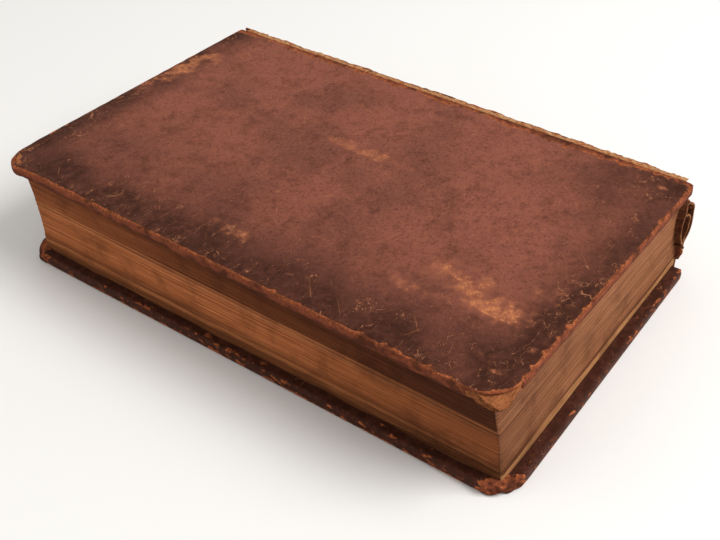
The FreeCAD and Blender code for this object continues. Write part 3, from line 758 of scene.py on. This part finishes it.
def make_front_board():
    """The front board, fine enough at its edges to carry the frayed layers of its corner."""
    low = (board_low.x, board_low.y)
    high = (board_high.x, board_high.y)
    bm = bmesh.new()
    rounded_grid(bm, low, high, BOARD_ROUNDS, BOARD_GRID, BOARD_BAND, BOARD_BAND_SHARE)
    start = rim_start(bm, low, high, BOARD_ROUNDS)
    rim = [edge for edge in bm.edges if edge.is_boundary]
    depth = board_high.z - board_low.z
    for vert in bm.verts:
        vert.co.z = -tip_drop(vert.co.x, vert.co.y)
    for row in range(1, BOARD_ROWS + 1):
        start, rim, _ = draw_rim(bm, rim, start)
        share = row / BOARD_ROWS
        for vert, (base, away) in start.items():
            drop = tip_drop(base.x, base.y)
            corner = smooth_step(15.0, 6.0, math.hypot(board_high.x - base.x, board_high.y - base.y))
            frayed = 0.7 * ripple(base.x + base.y, row * 3.7, 2.4, 32) + 0.35 * (row % 3 - 1)
            vert.co = base + away * frayed * corner
            vert.co.z = -drop - (depth - drop) * share - 0.5 * corner * share
    bmesh.ops.contextual_create(bm, geom=rim)
    place = Matrix.Translation((0, 0, board_high.z))
    piece = finish_piece(bm, "front_cover_board", "front_cover", [BARE_BOARD], place)
    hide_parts("front_board")


make_front_board()
frame["nodes"]["back_board"].material_slots[0].material = BARE_BOARD


# The block of leaves
# Rag-paper leaves in sewn gatherings, trimmed long ago and cockled since. They stand between the
# covers, lean with the slewed back cover, hollow at the fore-edge, and are rounded and backed at the
# spine, where the outer leaves fold over the edges of the boards. The edges have browned unevenly.
# Shade is painted on the fore-edge under the front board and towards its near end, and on the head and tail
# towards the fore corner.
JOINT_CLEARANCE = 0.3
SHOULDER_WIDTH = 0.8
SHOULDER_RISE = 3.2
FORE_SQUARE = 4.15
HEAD_SQUARE = 5.1
TAIL_SQUARE = 5.9
BLOCK_LOW = COVER_THICKNESS
BLOCK_HIGH = BOOK_HIGH - COVER_THICKNESS
SHOULDER_X = HINGE_X - JOINT_CLEARANCE
CHORD_X = SHOULDER_X - SHOULDER_WIDTH
SHOULDER_LOW = BLOCK_LOW - SHOULDER_RISE
SHOULDER_HIGH = BLOCK_HIGH + SHOULDER_RISE
BLOCK_FORE = FORE_X - FORE_SQUARE
BLOCK_HEAD = HALF_LENGTH - HEAD_SQUARE
BLOCK_TAIL = TAIL_SQUARE - HALF_LENGTH
FORE_HOLLOW = 1.2
SPINE_ROUND = 3.2
LEAF_ROWS = 150
SIDE_POINTS = {"tail": 84, "fore": 136, "head": 96}
CORD_PITCH = 42.0
KERF_WIDTH = 2.24
KERF_END = 4.5
BACK_STATIONS = 90
KERF_EDGE = 1e-4
# Heights of the lines where the gatherings show at the fore-edge, and of the one at the head
PROUD_LEVELS = (27.6, 25.9)
SUNK_LEVEL = 8.2
COCKLED_HIGH = 13.5


def with_block(x, y, z):
    """Place of a point of the block, sheared with the back cover towards its lower end."""
    share = min(max((BLOCK_HIGH - z) / (BLOCK_HIGH - BLOCK_LOW), 0.0), 1.0)
    slewed = BACK_PLACE @ Vector((x, y, z))
    return Vector((x + (slewed.x - x) * share, y + (slewed.y - y) * share, z))


def bulge(z, low, high, rise):
    """Rise of a shallow arc over the heights from low to high."""
    return rise * (1.0 - ((2 * z - low - high) / (high - low)) ** 2)


def leaf_offset(side, along, z):
    """How far the edges of the leaves stand proud of the trimmed face."""
    height = z + 0.7 * wave(along, 55, 41) * smooth_step(30, 8, z)
    offset = 0.07 * noise.noise(Vector((along / 70, height / 0.33, 2.0)))
    offset += 0.13 * noise.noise(Vector((along / 60, height / 1.5, 5.0)))
    offset += 0.16 * noise.noise(Vector((along / 90, height / 5.0, 8.0)))
    if side == "fore":
        cockled = smooth_step(COCKLED_HIGH, 9.0, z)
        offset += cockled * 0.55 * noise.noise(Vector((along / 26, height / 0.75, 11.0)))
        offset += cockled * 0.35 * noise.noise(Vector((along / 7, height / 1.1, 14.0)))
        for level in PROUD_LEVELS:
            offset += 0.22 * math.exp(-(((height - level - 0.4 * wave(along, 90, 42)) / 0.28) ** 2))
    else:
        offset += 0.25 * smooth_step(SUNK_LEVEL, 7.4, height) * (1.0 if side == "head" else 0.5)
        offset -= 0.35 * math.exp(-(((height - SUNK_LEVEL) / 0.4) ** 2))
    return offset


def block_outline():
    """Stations round the block: side, share of the side, and how far the leaves are cut in for a cord."""
    stations = []
    for side, count in SIDE_POINTS.items():
        for index in range(count):
            share = spread(index / count, 0.0, 1.0, 0.03, 0.09)
            stations.append((side, share, 0.0))
    marks = {share / BACK_STATIONS: 0.0 for share in range(BACK_STATIONS)}
    length = BLOCK_HEAD - BLOCK_TAIL
    for cord in range(-2, 3):
        middle = (BLOCK_HEAD - cord * CORD_PITCH) / length
        half = KERF_WIDTH / 2 / length
        marks = {share: cut for share, cut in marks.items() if abs(share - middle) > half + 0.002}
        marks[middle - half - KERF_EDGE] = 0.0
        marks[middle - half] = KERF_WIDTH
        marks[middle + half] = KERF_WIDTH
        marks[middle + half + KERF_EDGE] = 0.0
    for share in sorted(marks):
        stations.append(("back", share, marks[share]))
    return stations


def block_place(station, z):
    """Place of one station of the outline at one height."""
    side, share, cut = station
    fore = BLOCK_FORE - bulge(z, BLOCK_LOW, BLOCK_HIGH, FORE_HOLLOW)
    back = CHORD_X - bulge(z, SHOULDER_LOW, SHOULDER_HIGH, SPINE_ROUND)
    if side == "back":
        inside = SHOULDER_LOW + KERF_END < z < SHOULDER_HIGH - KERF_END
        return with_block(back + (cut if inside else 0.0), BLOCK_HEAD + (BLOCK_TAIL - BLOCK_HEAD) * share, z)
    if side == "fore":
        y = BLOCK_TAIL + (BLOCK_HEAD - BLOCK_TAIL) * share
        near = min(y - BLOCK_TAIL, BLOCK_HEAD - y)
        round_off = 0.7 * smooth_step(1.6, 0.0, near) ** 2
        return with_block(fore - round_off + leaf_offset(side, y, z), y, z)
    if side == "tail":
        x = back + (fore - back) * share
        round_off = 0.6 * smooth_step(1.6, 0.0, fore - x) ** 2
        return with_block(x, BLOCK_TAIL + round_off - leaf_offset(side, x, z), z)
    x = fore + (back - fore) * share
    round_off = 0.6 * smooth_step(1.6, 0.0, fore - x) ** 2
    return with_block(x, BLOCK_HEAD - round_off + leaf_offset(side, x, z), z)


def make_text_block():
    """Rings of the outline drawn up through the leaves, with a shoulder at each end of the back."""
    stations = block_outline()
    around = len(stations)
    leaves_round = sum(SIDE_POINTS.values())

    def shoulder_place(index, z, back_z):
        if index > leaves_round or stations[index][0] == "back":
            return block_place(stations[index], back_z)
        return with_block(SHOULDER_X, BLOCK_TAIL + (BLOCK_HEAD - BLOCK_TAIL) * index / leaves_round, z)

    low_mid = (BLOCK_LOW + SHOULDER_LOW) / 2
    high_mid = (BLOCK_HIGH + SHOULDER_HIGH) / 2
    rings = [
        lambda i: shoulder_place(i, SHOULDER_LOW, SHOULDER_LOW),
        lambda i: shoulder_place(i, BLOCK_LOW, low_mid),
    ]
    for row in range(LEAF_ROWS + 1):
        z = BLOCK_LOW + (BLOCK_HIGH - BLOCK_LOW) * row / LEAF_ROWS
        rings.append(lambda i, z=z: block_place(stations[i], z))
    rings.append(lambda i: shoulder_place(i, BLOCK_HIGH, high_mid))
    rings.append(lambda i: shoulder_place(i, SHOULDER_HIGH, SHOULDER_HIGH))
    bm = bmesh.new()
    first = bmesh.ops.create_circle(bm, cap_ends=False, segments=around, radius=1.0)["verts"]
    first.sort(key=lambda vert: math.atan2(vert.co.y, vert.co.x))
    number = {vert: index for index, vert in enumerate(first)}
    for vert, index in number.items():
        vert.co = rings[0](index)
    rim = bm.edges[:]
    bmesh.ops.contextual_create(bm, geom=rim)
    material_of = {"tail": 1, "fore": 0, "head": 1, "back": 2}
    for ring, place_of in enumerate(rings[1:], start=1):
        number, rim, faces = draw_rim(bm, rim, number)
        for vert, index in number.items():
            vert.co = place_of(index)
        for face in faces:
            indices = sorted(number[vert] for vert in face.verts if vert in number)
            station = indices[0] if indices[1] - indices[0] == 1 else indices[1]
            leaf_edge = 3 <= ring <= LEAF_ROWS + 2
            face.material_index = material_of[stations[station][0]] if leaf_edge else 2
    bmesh.ops.contextual_create(bm, geom=rim)
    bmesh.ops.recalc_face_normals(bm, faces=bm.faces[:])
    for face in bm.faces:
        if len(face.verts) > 4:
            face.material_index = 2
    papers = [FORE_EDGE_PAPER, END_EDGE_PAPER, PAGE_PAPER]
    piece = finish_piece(bm, "leaves", "book_block", papers)
    for face in piece.data.polygons:
        if abs(face.normal.z) > 0.9:
            face.use_smooth = False
    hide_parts("text_block")


LEAF_SHADE = (0.055, 0.015, 0.005, 1.0)
# Gains on the colour under them: a painted highlight where a leaf catches the light, and painted shade
LINE_GAIN = (2.3, 2.7, 3.0, 1.0)
PAINTED_SHADE_GAIN = (0.28, 0.24, 0.22, 1.0)


def leaf_edges():
    """Node group: fine lines of leaf edges that run level and waver a little, and a broader banding."""
    group = bpy.data.node_groups.new("leaf_edges", "ShaderNodeTree")
    group.interface.new_socket("Vector", in_out="INPUT", socket_type="NodeSocketVector")
    for name in ("Fine", "Broad", "Patches", "Level", "Along", "Across", "Lines", "Gaps"):
        group.interface.new_socket(name, in_out="OUTPUT", socket_type="NodeSocketFloat")
    given = put(group, "NodeGroupInput").outputs["Vector"]
    parts = put(group, "ShaderNodeSeparateXYZ", {0: given}).outputs
    waver = speckle(group, given, 0.02, 2.0, 0.5)
    low_down = ease(group, parts["Z"], 30.0, 8.0, 0.3, 1.8)
    level = sums(group, "MULTIPLY_ADD", sums(group, "SUBTRACT", waver, 0.5), low_down, parts["Z"])
    along = put(group, "ShaderNodeCombineXYZ", {
        "X": sums(group, "MULTIPLY", parts["X"], 0.006), "Y": sums(group, "MULTIPLY", parts["Y"], 0.006),
        "Z": level}).outputs[0]
    fine = speckle(group, along, 2.1, 4.0, 0.85)
    broad = speckle(group, along, 0.62, 3.0, 0.6)
    patches = speckle(group, given, 0.06, 4.0, 0.6)
    single = speckle(group, along, 0.95, 2.0, 0.7)
    crossing = sums(group, "ABSOLUTE", sums(group, "SUBTRACT", single, 0.5), None)
    lines = ease(group, crossing, 0.022, 0.004)
    shadow = speckle(group, along, 1.27, 2.0, 0.7)
    shadow_crossing = sums(group, "ABSOLUTE", sums(group, "SUBTRACT", shadow, 0.52), None)
    gaps = ease(group, shadow_crossing, 0.024, 0.006)
    ends = put(group, "NodeGroupOutput")
    for name, socket in (("Fine", fine), ("Broad", broad), ("Patches", patches), ("Level", level),
                         ("Along", parts["Y"]), ("Across", parts["X"]), ("Lines", lines), ("Gaps", gaps)):
        group.links.new(socket, ends.inputs[name])
    return group


LEAF_EDGES = leaf_edges()


def banded(tree, level, bands):
    """Colour by height from a list of (height, colour) bands."""
    low, high = bands[0][0], bands[-1][0]
    share = put(tree, "ShaderNodeMapRange", {"Value": level, "From Min": low, "From Max": high})
    ramp = put(tree, "ShaderNodeValToRGB", {"Fac": share.outputs["Result"]})
    stops = ramp.color_ramp.elements
    while len(stops) < len(bands):
        stops.new(0.5)
    for stop, (height, colour) in zip(stops, bands):
        stop.position = (height - low) / (high - low)
        stop.color = (*colour, 1.0)
    return ramp.outputs["Color"]


def leaf_edge_material(name, bands, line_light, line_dark, near_painted_shade, corner_painted_shade):
    """Edges of the leaves, coloured by height, lined by single leaves with painted highlights, stained in
    patches and darkened by painted shade.
    """
    material, tree, surface = new_material(name)
    lines = put(tree, "ShaderNodeGroup", node_tree=LEAF_EDGES)
    tree.links.new(in_millimetres(tree), lines.inputs["Vector"])
    colour = banded(tree, lines.outputs["Level"], bands)
    fine, broad = lines.outputs["Fine"], lines.outputs["Broad"]
    # Painted highlights where single leaves catch the light; the dark lines and gaps between leaves are
    # painted shade
    colour = tinted(tree, colour, LINE_GAIN, fine, 0.52, 0.7, 0.0, line_light, "MULTIPLY")
    colour = tinted(tree, colour, LEAF_SHADE, fine, 0.47, 0.34, 0.0, line_dark)
    colour = tinted(tree, colour, LEAF_SHADE, broad, 0.46, 0.3, 0.0, line_dark)
    gap_share = sums(tree, "MULTIPLY", lines.outputs["Gaps"], line_dark * 0.8)
    colour = mix_colour(tree, gap_share, colour, LEAF_SHADE)
    line_share = sums(tree, "MULTIPLY", lines.outputs["Lines"], line_light)
    colour = mix_colour(tree, line_share, colour, LINE_GAIN, "MULTIPLY")
    colour = tinted(tree, colour, LEAF_SHADE, lines.outputs["Patches"], 0.45, 0.7, 0.0, 0.45)
    # Painted shade on the fore-edge, deeper towards its near (head) end
    nearer = ease(tree, lines.outputs["Along"], 20.0, 112.0, 0.0, near_painted_shade * 1.15)
    colour = mix_colour(tree, nearer, colour, PAINTED_SHADE_GAIN, "MULTIPLY")
    # Painted shade on the head and tail, deeper towards the fore corner
    cornered = ease(tree, lines.outputs["Across"], 10.0, 69.0, 0.0, corner_painted_shade)
    colour = mix_colour(tree, cornered, colour, PAINTED_SHADE_GAIN, "MULTIPLY")
    # Painted shade on the upper zone of the fore-edge under the front board, stronger towards the near end
    upper = ease(tree, lines.outputs["Level"], 26.8, 28.2, 0.0, near_painted_shade)
    upper = sums(tree, "MULTIPLY", upper, ease(tree, lines.outputs["Along"], -100.0, 40.0, 0.0, 1.5))
    colour = mix_colour(tree, upper, colour, PAINTED_SHADE_GAIN, "MULTIPLY")
    height = sums(tree, "ADD", sums(tree, "MULTIPLY", fine, 0.6), sums(tree, "MULTIPLY", broad, 0.6))
    dress_surface(tree, surface, colour, height, (0.7, 0.3), 0.85)
    return material


FORE_EDGE_PAPER = leaf_edge_material("fore_edge_of_the_leaves", [
    (4.5, (0.12, 0.04, 0.014)),
    (8.0, (0.17, 0.054, 0.018)),
    (9.3, (0.34, 0.117, 0.042)),
    (10.5, (0.22, 0.067, 0.022)),
    (13.5, (0.36, 0.11, 0.036)),
    (24.4, (0.37, 0.112, 0.037)),
    (25.5, (0.46, 0.17, 0.065)),
    (26.2, (0.26, 0.078, 0.025)),
    (27.2, (0.37, 0.13, 0.05)),
    # From 28 mm up the colour darkens into painted shade under the overhang of the front board
    (28.0, (0.25, 0.072, 0.023)),
    (36.0, (0.2, 0.055, 0.017)),
    (43.0, (0.07, 0.018, 0.006)),
], line_light=0.42, line_dark=0.55, near_painted_shade=0.5, corner_painted_shade=0.0)
END_EDGE_PAPER = leaf_edge_material("head_and_tail_of_the_leaves", [
    (4.5, (0.44, 0.2, 0.08)),
    (7.0, (0.4, 0.17, 0.066)),
    (7.7, (0.09, 0.03, 0.012)),
    (8.8, (0.22, 0.08, 0.034)),
    (20.0, (0.235, 0.088, 0.038)),
    (34.0, (0.25, 0.095, 0.042)),
    (39.0, (0.2, 0.078, 0.038)),
    (43.0, (0.1, 0.038, 0.026)),
], line_light=0.5, line_dark=0.5, near_painted_shade=0.0, corner_painted_shade=0.35)


FOXING = (0.3, 0.13, 0.05, 1.0)


def page_material(name, light, dark):
    """Aged paper, browned towards its edges and foxed in spots."""
    material, tree, surface = new_material(name)
    vector = in_millimetres(tree)
    parts = put(tree, "ShaderNodeSeparateXYZ", {0: vector}).outputs
    across = sums(tree, "ABSOLUTE", parts["X"], None)
    along = sums(tree, "ABSOLUTE", parts["Y"], None)
    reach = sums(tree, "MAXIMUM", sums(tree, "ADD", across, 40.0), along)
    browned = ease(tree, reach, 84.0, 110.0)
    clouds = speckle(tree, vector, 0.03, 4.0, 0.6)
    spots = speckle(tree, vector, 0.3, 2.0, 0.5)
    colour = tinted(tree, light, dark, clouds, 0.3, 0.7, 0.0, 0.4)
    colour = mix_colour(tree, sums(tree, "MULTIPLY", browned, 0.8), colour, dark)
    colour = tinted(tree, colour, FOXING, spots, 0.7, 0.78, 0.0, 0.6)
    dress_surface(tree, surface, colour, clouds, (0.2, 0.4), 0.9)
    return material


PAGE_PAPER = page_material("aged_page", (0.68, 0.52, 0.33, 1.0), (0.42, 0.25, 0.12, 1.0))
PASTEDOWN_PAPER = page_material("aged_endpaper", (0.6, 0.45, 0.28, 1.0), (0.34, 0.19, 0.09, 1.0))

make_text_block()
for node in ("front_pastedown", "back_pastedown"):
    frame["nodes"][node].material_slots[0].material = PASTEDOWN_PAPER


# The back of the book
# Five hemp cords lie in kerfs sawn across the folds, under a strip of pasted cloth. A flat paper tube
# joins that to the loose calf of the spine, so that the spine springs out when the book opens. At the
# head the calf and the tube have torn, and what is left of them is frayed and stands off the leaves.
TUBE_NEAR = 0.69
TUBE_WALL = 0.4
LEATHER_FAR = 2.51
LEATHER_THICKNESS = 0.9
HOLLOW_ROUND = 5.4
REMNANT_LOW = 8.0
REMNANT_HIGH = 34.0
REMNANT_END = 112.8
CURL_FROM = 98.0
LIP_SHARE = 0.07
LIP_RISE = 0.5
LIP_START = 0.45
SPINE_TOP = BOOK_HIGH - 0.6

TUBE_TAN = (0.4, 0.19, 0.085, 1.0)
TUBE_BROWN = (0.24, 0.095, 0.04, 1.0)
CLOTH_TAN = (0.22, 0.11, 0.05, 1.0)
HEMP = (0.5, 0.36, 0.2, 1.0)
TUBE_PAPER = fibre_material("tube_paper", TUBE_TAN, TUBE_BROWN, BOARD_SHADE, (1.0, 0.3, 1.0))
LINING_CLOTH = fibre_material("lining_cloth", CLOTH_TAN, TUBE_BROWN, BOARD_SHADE, (1.0, 2.0, 2.0))
# Dark stuff for the inside of the hollow: painted shade
HOLLOW_SHADE = fibre_material("painted_shade_in_the_hollow", BOARD_SHADE, LEAF_SHADE, LEAF_SHADE, (1.0, 0.3, 1.0))
HEMP_CORD = fibre_material("hemp_cord", HEMP, TUBE_BROWN, BOARD_SHADE, (2.0, 4.0, 1.0))

for node, item in frame["nodes"].items():
    if node.startswith("sewing_cord") or "_slip_" in node:
        item.material_slots[0].material = HEMP_CORD
frame["nodes"]["spine_lining"].material_slots[0].material = LINING_CLOTH


def torn_head(z):
    """Length at which the calf of the spine ends at the head, at each height."""
    if z > REMNANT_HIGH:
        share = (z - REMNANT_HIGH) / (BOOK_HIGH - REMNANT_HIGH)
        end = REMNANT_END - 4.5 * share ** 0.7
    elif z < REMNANT_LOW:
        share = (REMNANT_LOW - z) / REMNANT_LOW
        end = REMNANT_END - 3.5 * share ** 0.8
    else:
        end = REMNANT_END
    return end + 0.9 * wave(z, 4.5, 51) + 0.35 * wave(z, 1.3, 52)


def half_loop(z, middle, half, rise):
    """Rise of a rounded loop about its middle height, and none outside it."""
    return rise * max(0.0, 1.0 - ((z - middle) / half) ** 2) ** 0.6


def sheet_mesh(counts, place_of, thickness, layers=()):
    """Thin closed sheet: a grid laid out by place_of, thickened behind, with its wear written on it."""
    bm = bmesh.new()
    bmesh.ops.create_grid(bm, x_segments=counts[0], y_segments=counts[1], size=0.5)
    written = [bm.verts.layers.float.new(name) for name in layers]
    for vert in bm.verts:
        place, values = place_of(vert.co.x + 0.5, vert.co.y + 0.5)
        vert.co = place
        for layer, value in zip(written, values):
            vert[layer] = value
    bm.normal_update()
    bmesh.ops.solidify(bm, geom=bm.faces[:], thickness=thickness)
    bmesh.ops.recalc_face_normals(bm, faces=bm.faces[:])
    return bm


def make_spine_leather():
    """Calf of the spine: torn along the front joint and at the head, creased lengthwise, whole behind."""
    lip_end = LIP_START + LIP_RISE

    def place_of(u, v):
        top = SPINE_TOP + 0.5 * wave(v, 0.05, 53) - 0.5 + 0.35 * wave(v, 0.012, 54)
        if u < LIP_SHARE:
            share = u / LIP_SHARE
            z = LIP_START + LIP_RISE * share ** 3
            x = SHOULDER_X + (CHORD_X - LEATHER_FAR + 0.3 - SHOULDER_X) * share
        else:
            share = (u - LIP_SHARE) / (1.0 - LIP_SHARE)
            z = lip_end + (top - lip_end) * share
            rise = bulge(min(max(z, SHOULDER_LOW), SHOULDER_HIGH), SHOULDER_LOW, SHOULDER_HIGH, HOLLOW_ROUND)
            x = CHORD_X - LEATHER_FAR - rise
        head = torn_head(z)
        y = -HALF_LENGTH + (head + HALF_LENGTH) * v
        creases = 0.16 * noise.noise(Vector((z / 2.2, y / 60, 3.0)))
        creases += 0.25 * noise.noise(Vector((z / 7, y / 30, 6.0)))
        x -= creases * smooth_step(2.0, 6.0, z)
        curl = smooth_step(CURL_FROM, REMNANT_END - 0.5, y) * smooth_step(3.0, 8.0, z)
        loop_x = CHORD_X - 0.9 - LEATHER_THICKNESS - half_loop(z, 25.5, 11.5, 7.2) - 0.3 * wave(z, 6, 55)
        x += (loop_x - x) * curl
        worn = max(1.0 - (head - y) / 1.4, 0.9 - (top - z) / 1.2, 0.6 - (y + HALF_LENGTH) / 1.5)
        worn += 0.5 * ripple(y, z, 7, 56)
        rubbed = 0.3 * math.exp(-(((z - 23) / 9) ** 2)) + 0.12 * ripple(y, z, 25, 57)
        return with_block(x, y, z), (worn - 0.3, rubbed, 0.25)

    bm = sheet_mesh((110, 190), place_of, LEATHER_THICKNESS, ("wear", "scuff", "dark"))
    # Faces towards the leaves, short of the torn head, take the painted shade of the hollow
    for face in bm.faces:
        if face.normal.x > 0.3 and face.calc_center_median().y < REMNANT_END - 0.9:
            face.material_index = 1
    piece = finish_piece(bm, "spine_skin", "book_block", [WORN_CALF, HOLLOW_SHADE])
    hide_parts("spine_leather")


make_spine_leather()


TUBE_HALF_POINTS = 44
TUBE_ROWS = 60
TUBE_RECESS = 2.5
FRAY_MIDDLE = 24.5


def make_hollow_tube():
    """Paper tube: a closed flat loop of paper, drawn along the block and frayed at the head."""
    low, high = SHOULDER_LOW + 0.3, SHOULDER_HIGH - 0.3

    def loop_place(u):
        # Down the inner wall and up the outer wall of the tube
        if u < 0.5:
            z = high - (high - low) * u * 2
            return z, CHORD_X - TUBE_NEAR - bulge(z, SHOULDER_LOW, SHOULDER_HIGH, SPINE_ROUND)
        z = low + (high - low) * (u - 0.5) * 2
        room = min(z - SHOULDER_LOW, SHOULDER_HIGH - z)
        rise = bulge(z, SHOULDER_LOW, SHOULDER_HIGH, HOLLOW_ROUND - 0.25) if room > 0 else 0.0
        return z, CHORD_X - TUBE_NEAR - 0.3 - rise

    bm = bmesh.new()
    around = TUBE_HALF_POINTS * 2
    bmesh.ops.create_circle(bm, cap_ends=False, segments=around, radius=1.0)
    ring = sorted(bm.verts, key=lambda vert: math.atan2(vert.co.y, vert.co.x))
    number = {vert: index / around for index, vert in enumerate(ring)}
    rim = bm.edges[:]

    def settle(vert, u, row):
        z, x = loop_place(u)
        outer = smooth_step(0.5, 0.52, u) * smooth_step(1.0, 0.98, u)
        recede = 8.0 * smooth_step(8.0, 13.0, abs(z - FRAY_MIDDLE)) * outer
        fray = 0.8 * wave(z, 5.0, 61) + 0.4 * wave(z, 1.6, 62)
        head = BLOCK_HEAD - TUBE_RECESS + 3.0 * outer - recede + fray
        y = BLOCK_TAIL + (head - BLOCK_TAIL) * row / TUBE_ROWS
        rise = bulge(z, SHOULDER_LOW, SHOULDER_HIGH, SPINE_ROUND)
        inner_x = CHORD_X - TUBE_NEAR - rise - 0.5
        loop = half_loop(z, FRAY_MIDDLE, 8.5, 4.3) + 0.3 * wave(z, 4, 63)
        loop_x = CHORD_X - TUBE_NEAR - rise * 0.4 - 0.5 - loop
        curl = smooth_step(97.0, BLOCK_HEAD, y) * outer
        vert.co = with_block(x + (min(loop_x, inner_x) - x) * curl, y, z)

    for vert, u in number.items():
        settle(vert, u, 0)
    for row in range(1, TUBE_ROWS + 1):
        number, rim, _ = draw_rim(bm, rim, number)
        for vert, u in number.items():
            settle(vert, u, row)
    bmesh.ops.recalc_face_normals(bm, faces=bm.faces[:])
    bmesh.ops.solidify(bm, geom=bm.faces[:], thickness=TUBE_WALL + 0.1)
    bmesh.ops.recalc_face_normals(bm, faces=bm.faces[:])
    # The tube's walls, short of the frayed head end, take the painted shade of the hollow
    for face in bm.faces:
        if abs(face.normal.y) < 0.5 and face.calc_center_median().y < BLOCK_HEAD + 1.9:
            face.material_index = 1
    piece = finish_piece(bm, "spine_tube", "book_block", [TUBE_PAPER, HOLLOW_SHADE])
    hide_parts("hollow_tube")


make_hollow_tube()


# The curl at the head of the spine
# Where the calf and paper of the spine tore at the head, a strip has rolled up tight and dried stiff.
# It stands out past the ends of the leaves, and its torn edge shows as two nested loops.
CURL_LIGHT = (0.33, 0.14, 0.06, 1.0)
CURL_BROWN = (0.15, 0.052, 0.022, 1.0)
CURLED_CALF = fibre_material("curled_calf", CURL_BROWN, FLESH_DARK, LEAF_SHADE, (1.0, 0.5, 1.0))
CURL_RIM = fibre_material("edge_of_the_curl", CURL_LIGHT, CURL_BROWN, FLESH_DARK, (1.0, 1.0, 1.0))
CURL_START = -2.1
CURL_SWEEP = 10.9
CURL_MIDDLE = 25.4
CURL_HALF_HEIGHT = 10.9
CURL_OUT = 7.6
CURL_IN = 4.2
CURL_INSET = 0.9
CURL_TIGHTENS = 0.52
CURL_STANDS = 3.3
CURL_ROOT = 2.5
CURL_THICKNESS = 0.95


def make_head_curl():
    """Torn strip of the spine that has rolled up at the head, open towards the end of the leaves."""
    root = BLOCK_HEAD - CURL_ROOT

    def place_of(u, v):
        angle = CURL_START + CURL_SWEEP * u
        tighter = 1.0 - CURL_TIGHTENS * smooth_step(0.35, 1.0, u)
        across = math.cos(angle) * (CURL_OUT if math.cos(angle) > 0 else CURL_IN) * tighter
        out = across + CURL_INSET + 0.35 * wave(angle, 0.9, 81)
        rise = CURL_HALF_HEIGHT * tighter * math.sin(angle + 0.12)
        z = CURL_MIDDLE + rise + 0.5 * wave(angle, 1.1, 82) - 1.5 * u
        end = BLOCK_HEAD + CURL_STANDS - 1.1 * u + 0.8 * wave(angle, 0.8, 83)
        flare = 1.0 + 0.05 * v * wave(angle, 1.6, 84)
        return with_block(CHORD_X - out * flare, root + (end - root) * v, z), ()

    bm = sheet_mesh((150, 14), place_of, CURL_THICKNESS)
    for face in bm.faces:
        face.material_index = 1 if face.normal.y > 0.6 else 0
    finish_piece(bm, "head_curl", "book_block", [CURLED_CALF, CURL_RIM])


make_head_curl()


# The broken front joint
# Where the calf split, rags of leather, cloth and paper stand along the shoulder of the block. They
# are stuck to the leaves, so the front cover swings away from them.
RAG_TAN = (0.48, 0.26, 0.12, 1.0)
RAG_RUST = (0.3, 0.09, 0.03, 1.0)
JOINT_RAGS = fibre_material("joint_rags", RAG_TAN, RAG_RUST, FLESH_DARK, (1.0, 0.5, 1.0))
RAG_WIDTH = 2.5
RAG_THICKNESS = 0.35
RAG_BED = 0.45


def make_joint_rags():
    """Lumpy torn strip over the front shoulder, from the leaves to the edge of the spine calf."""
    tail, head = -HALF_LENGTH + 3.0, HALF_LENGTH - 4.0

    def place_of(u, v):
        y = tail + (head - tail) * v
        lumps = max(0.0, wave(y, 9.0, 71)) * 1.1 + 0.35 * wave(y, 2.2, 72)
        width = RAG_WIDTH + 0.6 * wave(y, 11.0, 73) + 0.4 * wave(y, 1.4, 74)
        x = SHOULDER_X + 0.1 - width * u
        z = SHOULDER_HIGH + RAG_BED + 0.5 * lumps * math.sin(math.pi * u) - 0.25 * u
        z += 0.2 * ripple(y, u * 6, 1.6, 75)
        return Vector((x, y, min(z, BOOK_HIGH + 0.1))), ()

    bm = sheet_mesh((10, 420), place_of, RAG_THICKNESS)
    finish_piece(bm, "joint_rags", "book_block", [JOINT_RAGS])


make_joint_rags()


# The inner joints
# The endpaper of each cover runs from the pastedown over the spine edge of the board and folds down
# the shoulder of the leaves. It is what still holds the front cover.
FOLD_BLOCK_X = -71.03
FOLD_COVER_X = -70.88
FOLD_TOP = 46.76
# Up the shoulder, over and down the board's edge to the pastedown: x and height at the front cover
FOLD_PATH = [
    (FOLD_BLOCK_X, 43.1), (FOLD_BLOCK_X, 44.2), (FOLD_BLOCK_X, 45.4), (FOLD_BLOCK_X, 46.5),
    (-71.0, 46.68), (-70.95, FOLD_TOP), (-70.91, 46.68),
    (FOLD_COVER_X, 46.5), (FOLD_COVER_X, 45.4), (FOLD_COVER_X, 44.2), (FOLD_COVER_X, 43.3),
    (-70.82, 43.16), (-70.5, 43.13), (-69.6, 43.13),
]
FOLD_THICKNESS = 0.05
FOLD_INSET = 0.6


def make_endpaper_fold(name, place, level):
    """Paper fold in one joint, worked from its path across and run along the leaves."""
    steps = len(FOLD_PATH) - 1

    def place_of(u, v):
        x, z = FOLD_PATH[round(u * steps)]
        length = BLOCK_HEAD - BLOCK_TAIL - 2 * FOLD_INSET
        y = BLOCK_TAIL + FOLD_INSET + length * v + 0.2 * wave(z, 1.5, 81)
        return place @ Vector((x, y, level(z))), ()

    bm = sheet_mesh((steps, 60), place_of, FOLD_THICKNESS)
    bmesh.ops.transform(bm, matrix=Matrix.Scale(MM, 4), verts=bm.verts)
    mesh = bpy.data.meshes.new(name)
    bm.to_mesh(mesh)
    bm.free()
    mesh.materials.append(PASTEDOWN_PAPER)
    piece = bpy.data.objects.new(name, mesh)
    bpy.context.collection.objects.link(piece)
    start = place @ Vector((FOLD_BLOCK_X, 0.0, level(FOLD_TOP)))
    end = place @ Vector((FOLD_COVER_X, 0.0, level(FOLD_TOP)))
    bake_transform(piece)


make_endpaper_fold("front_endpaper_fold", Matrix.Identity(4), lambda z: z)
make_endpaper_fold("back_endpaper_fold", BACK_PLACE, lambda z: BOOK_HIGH - z)
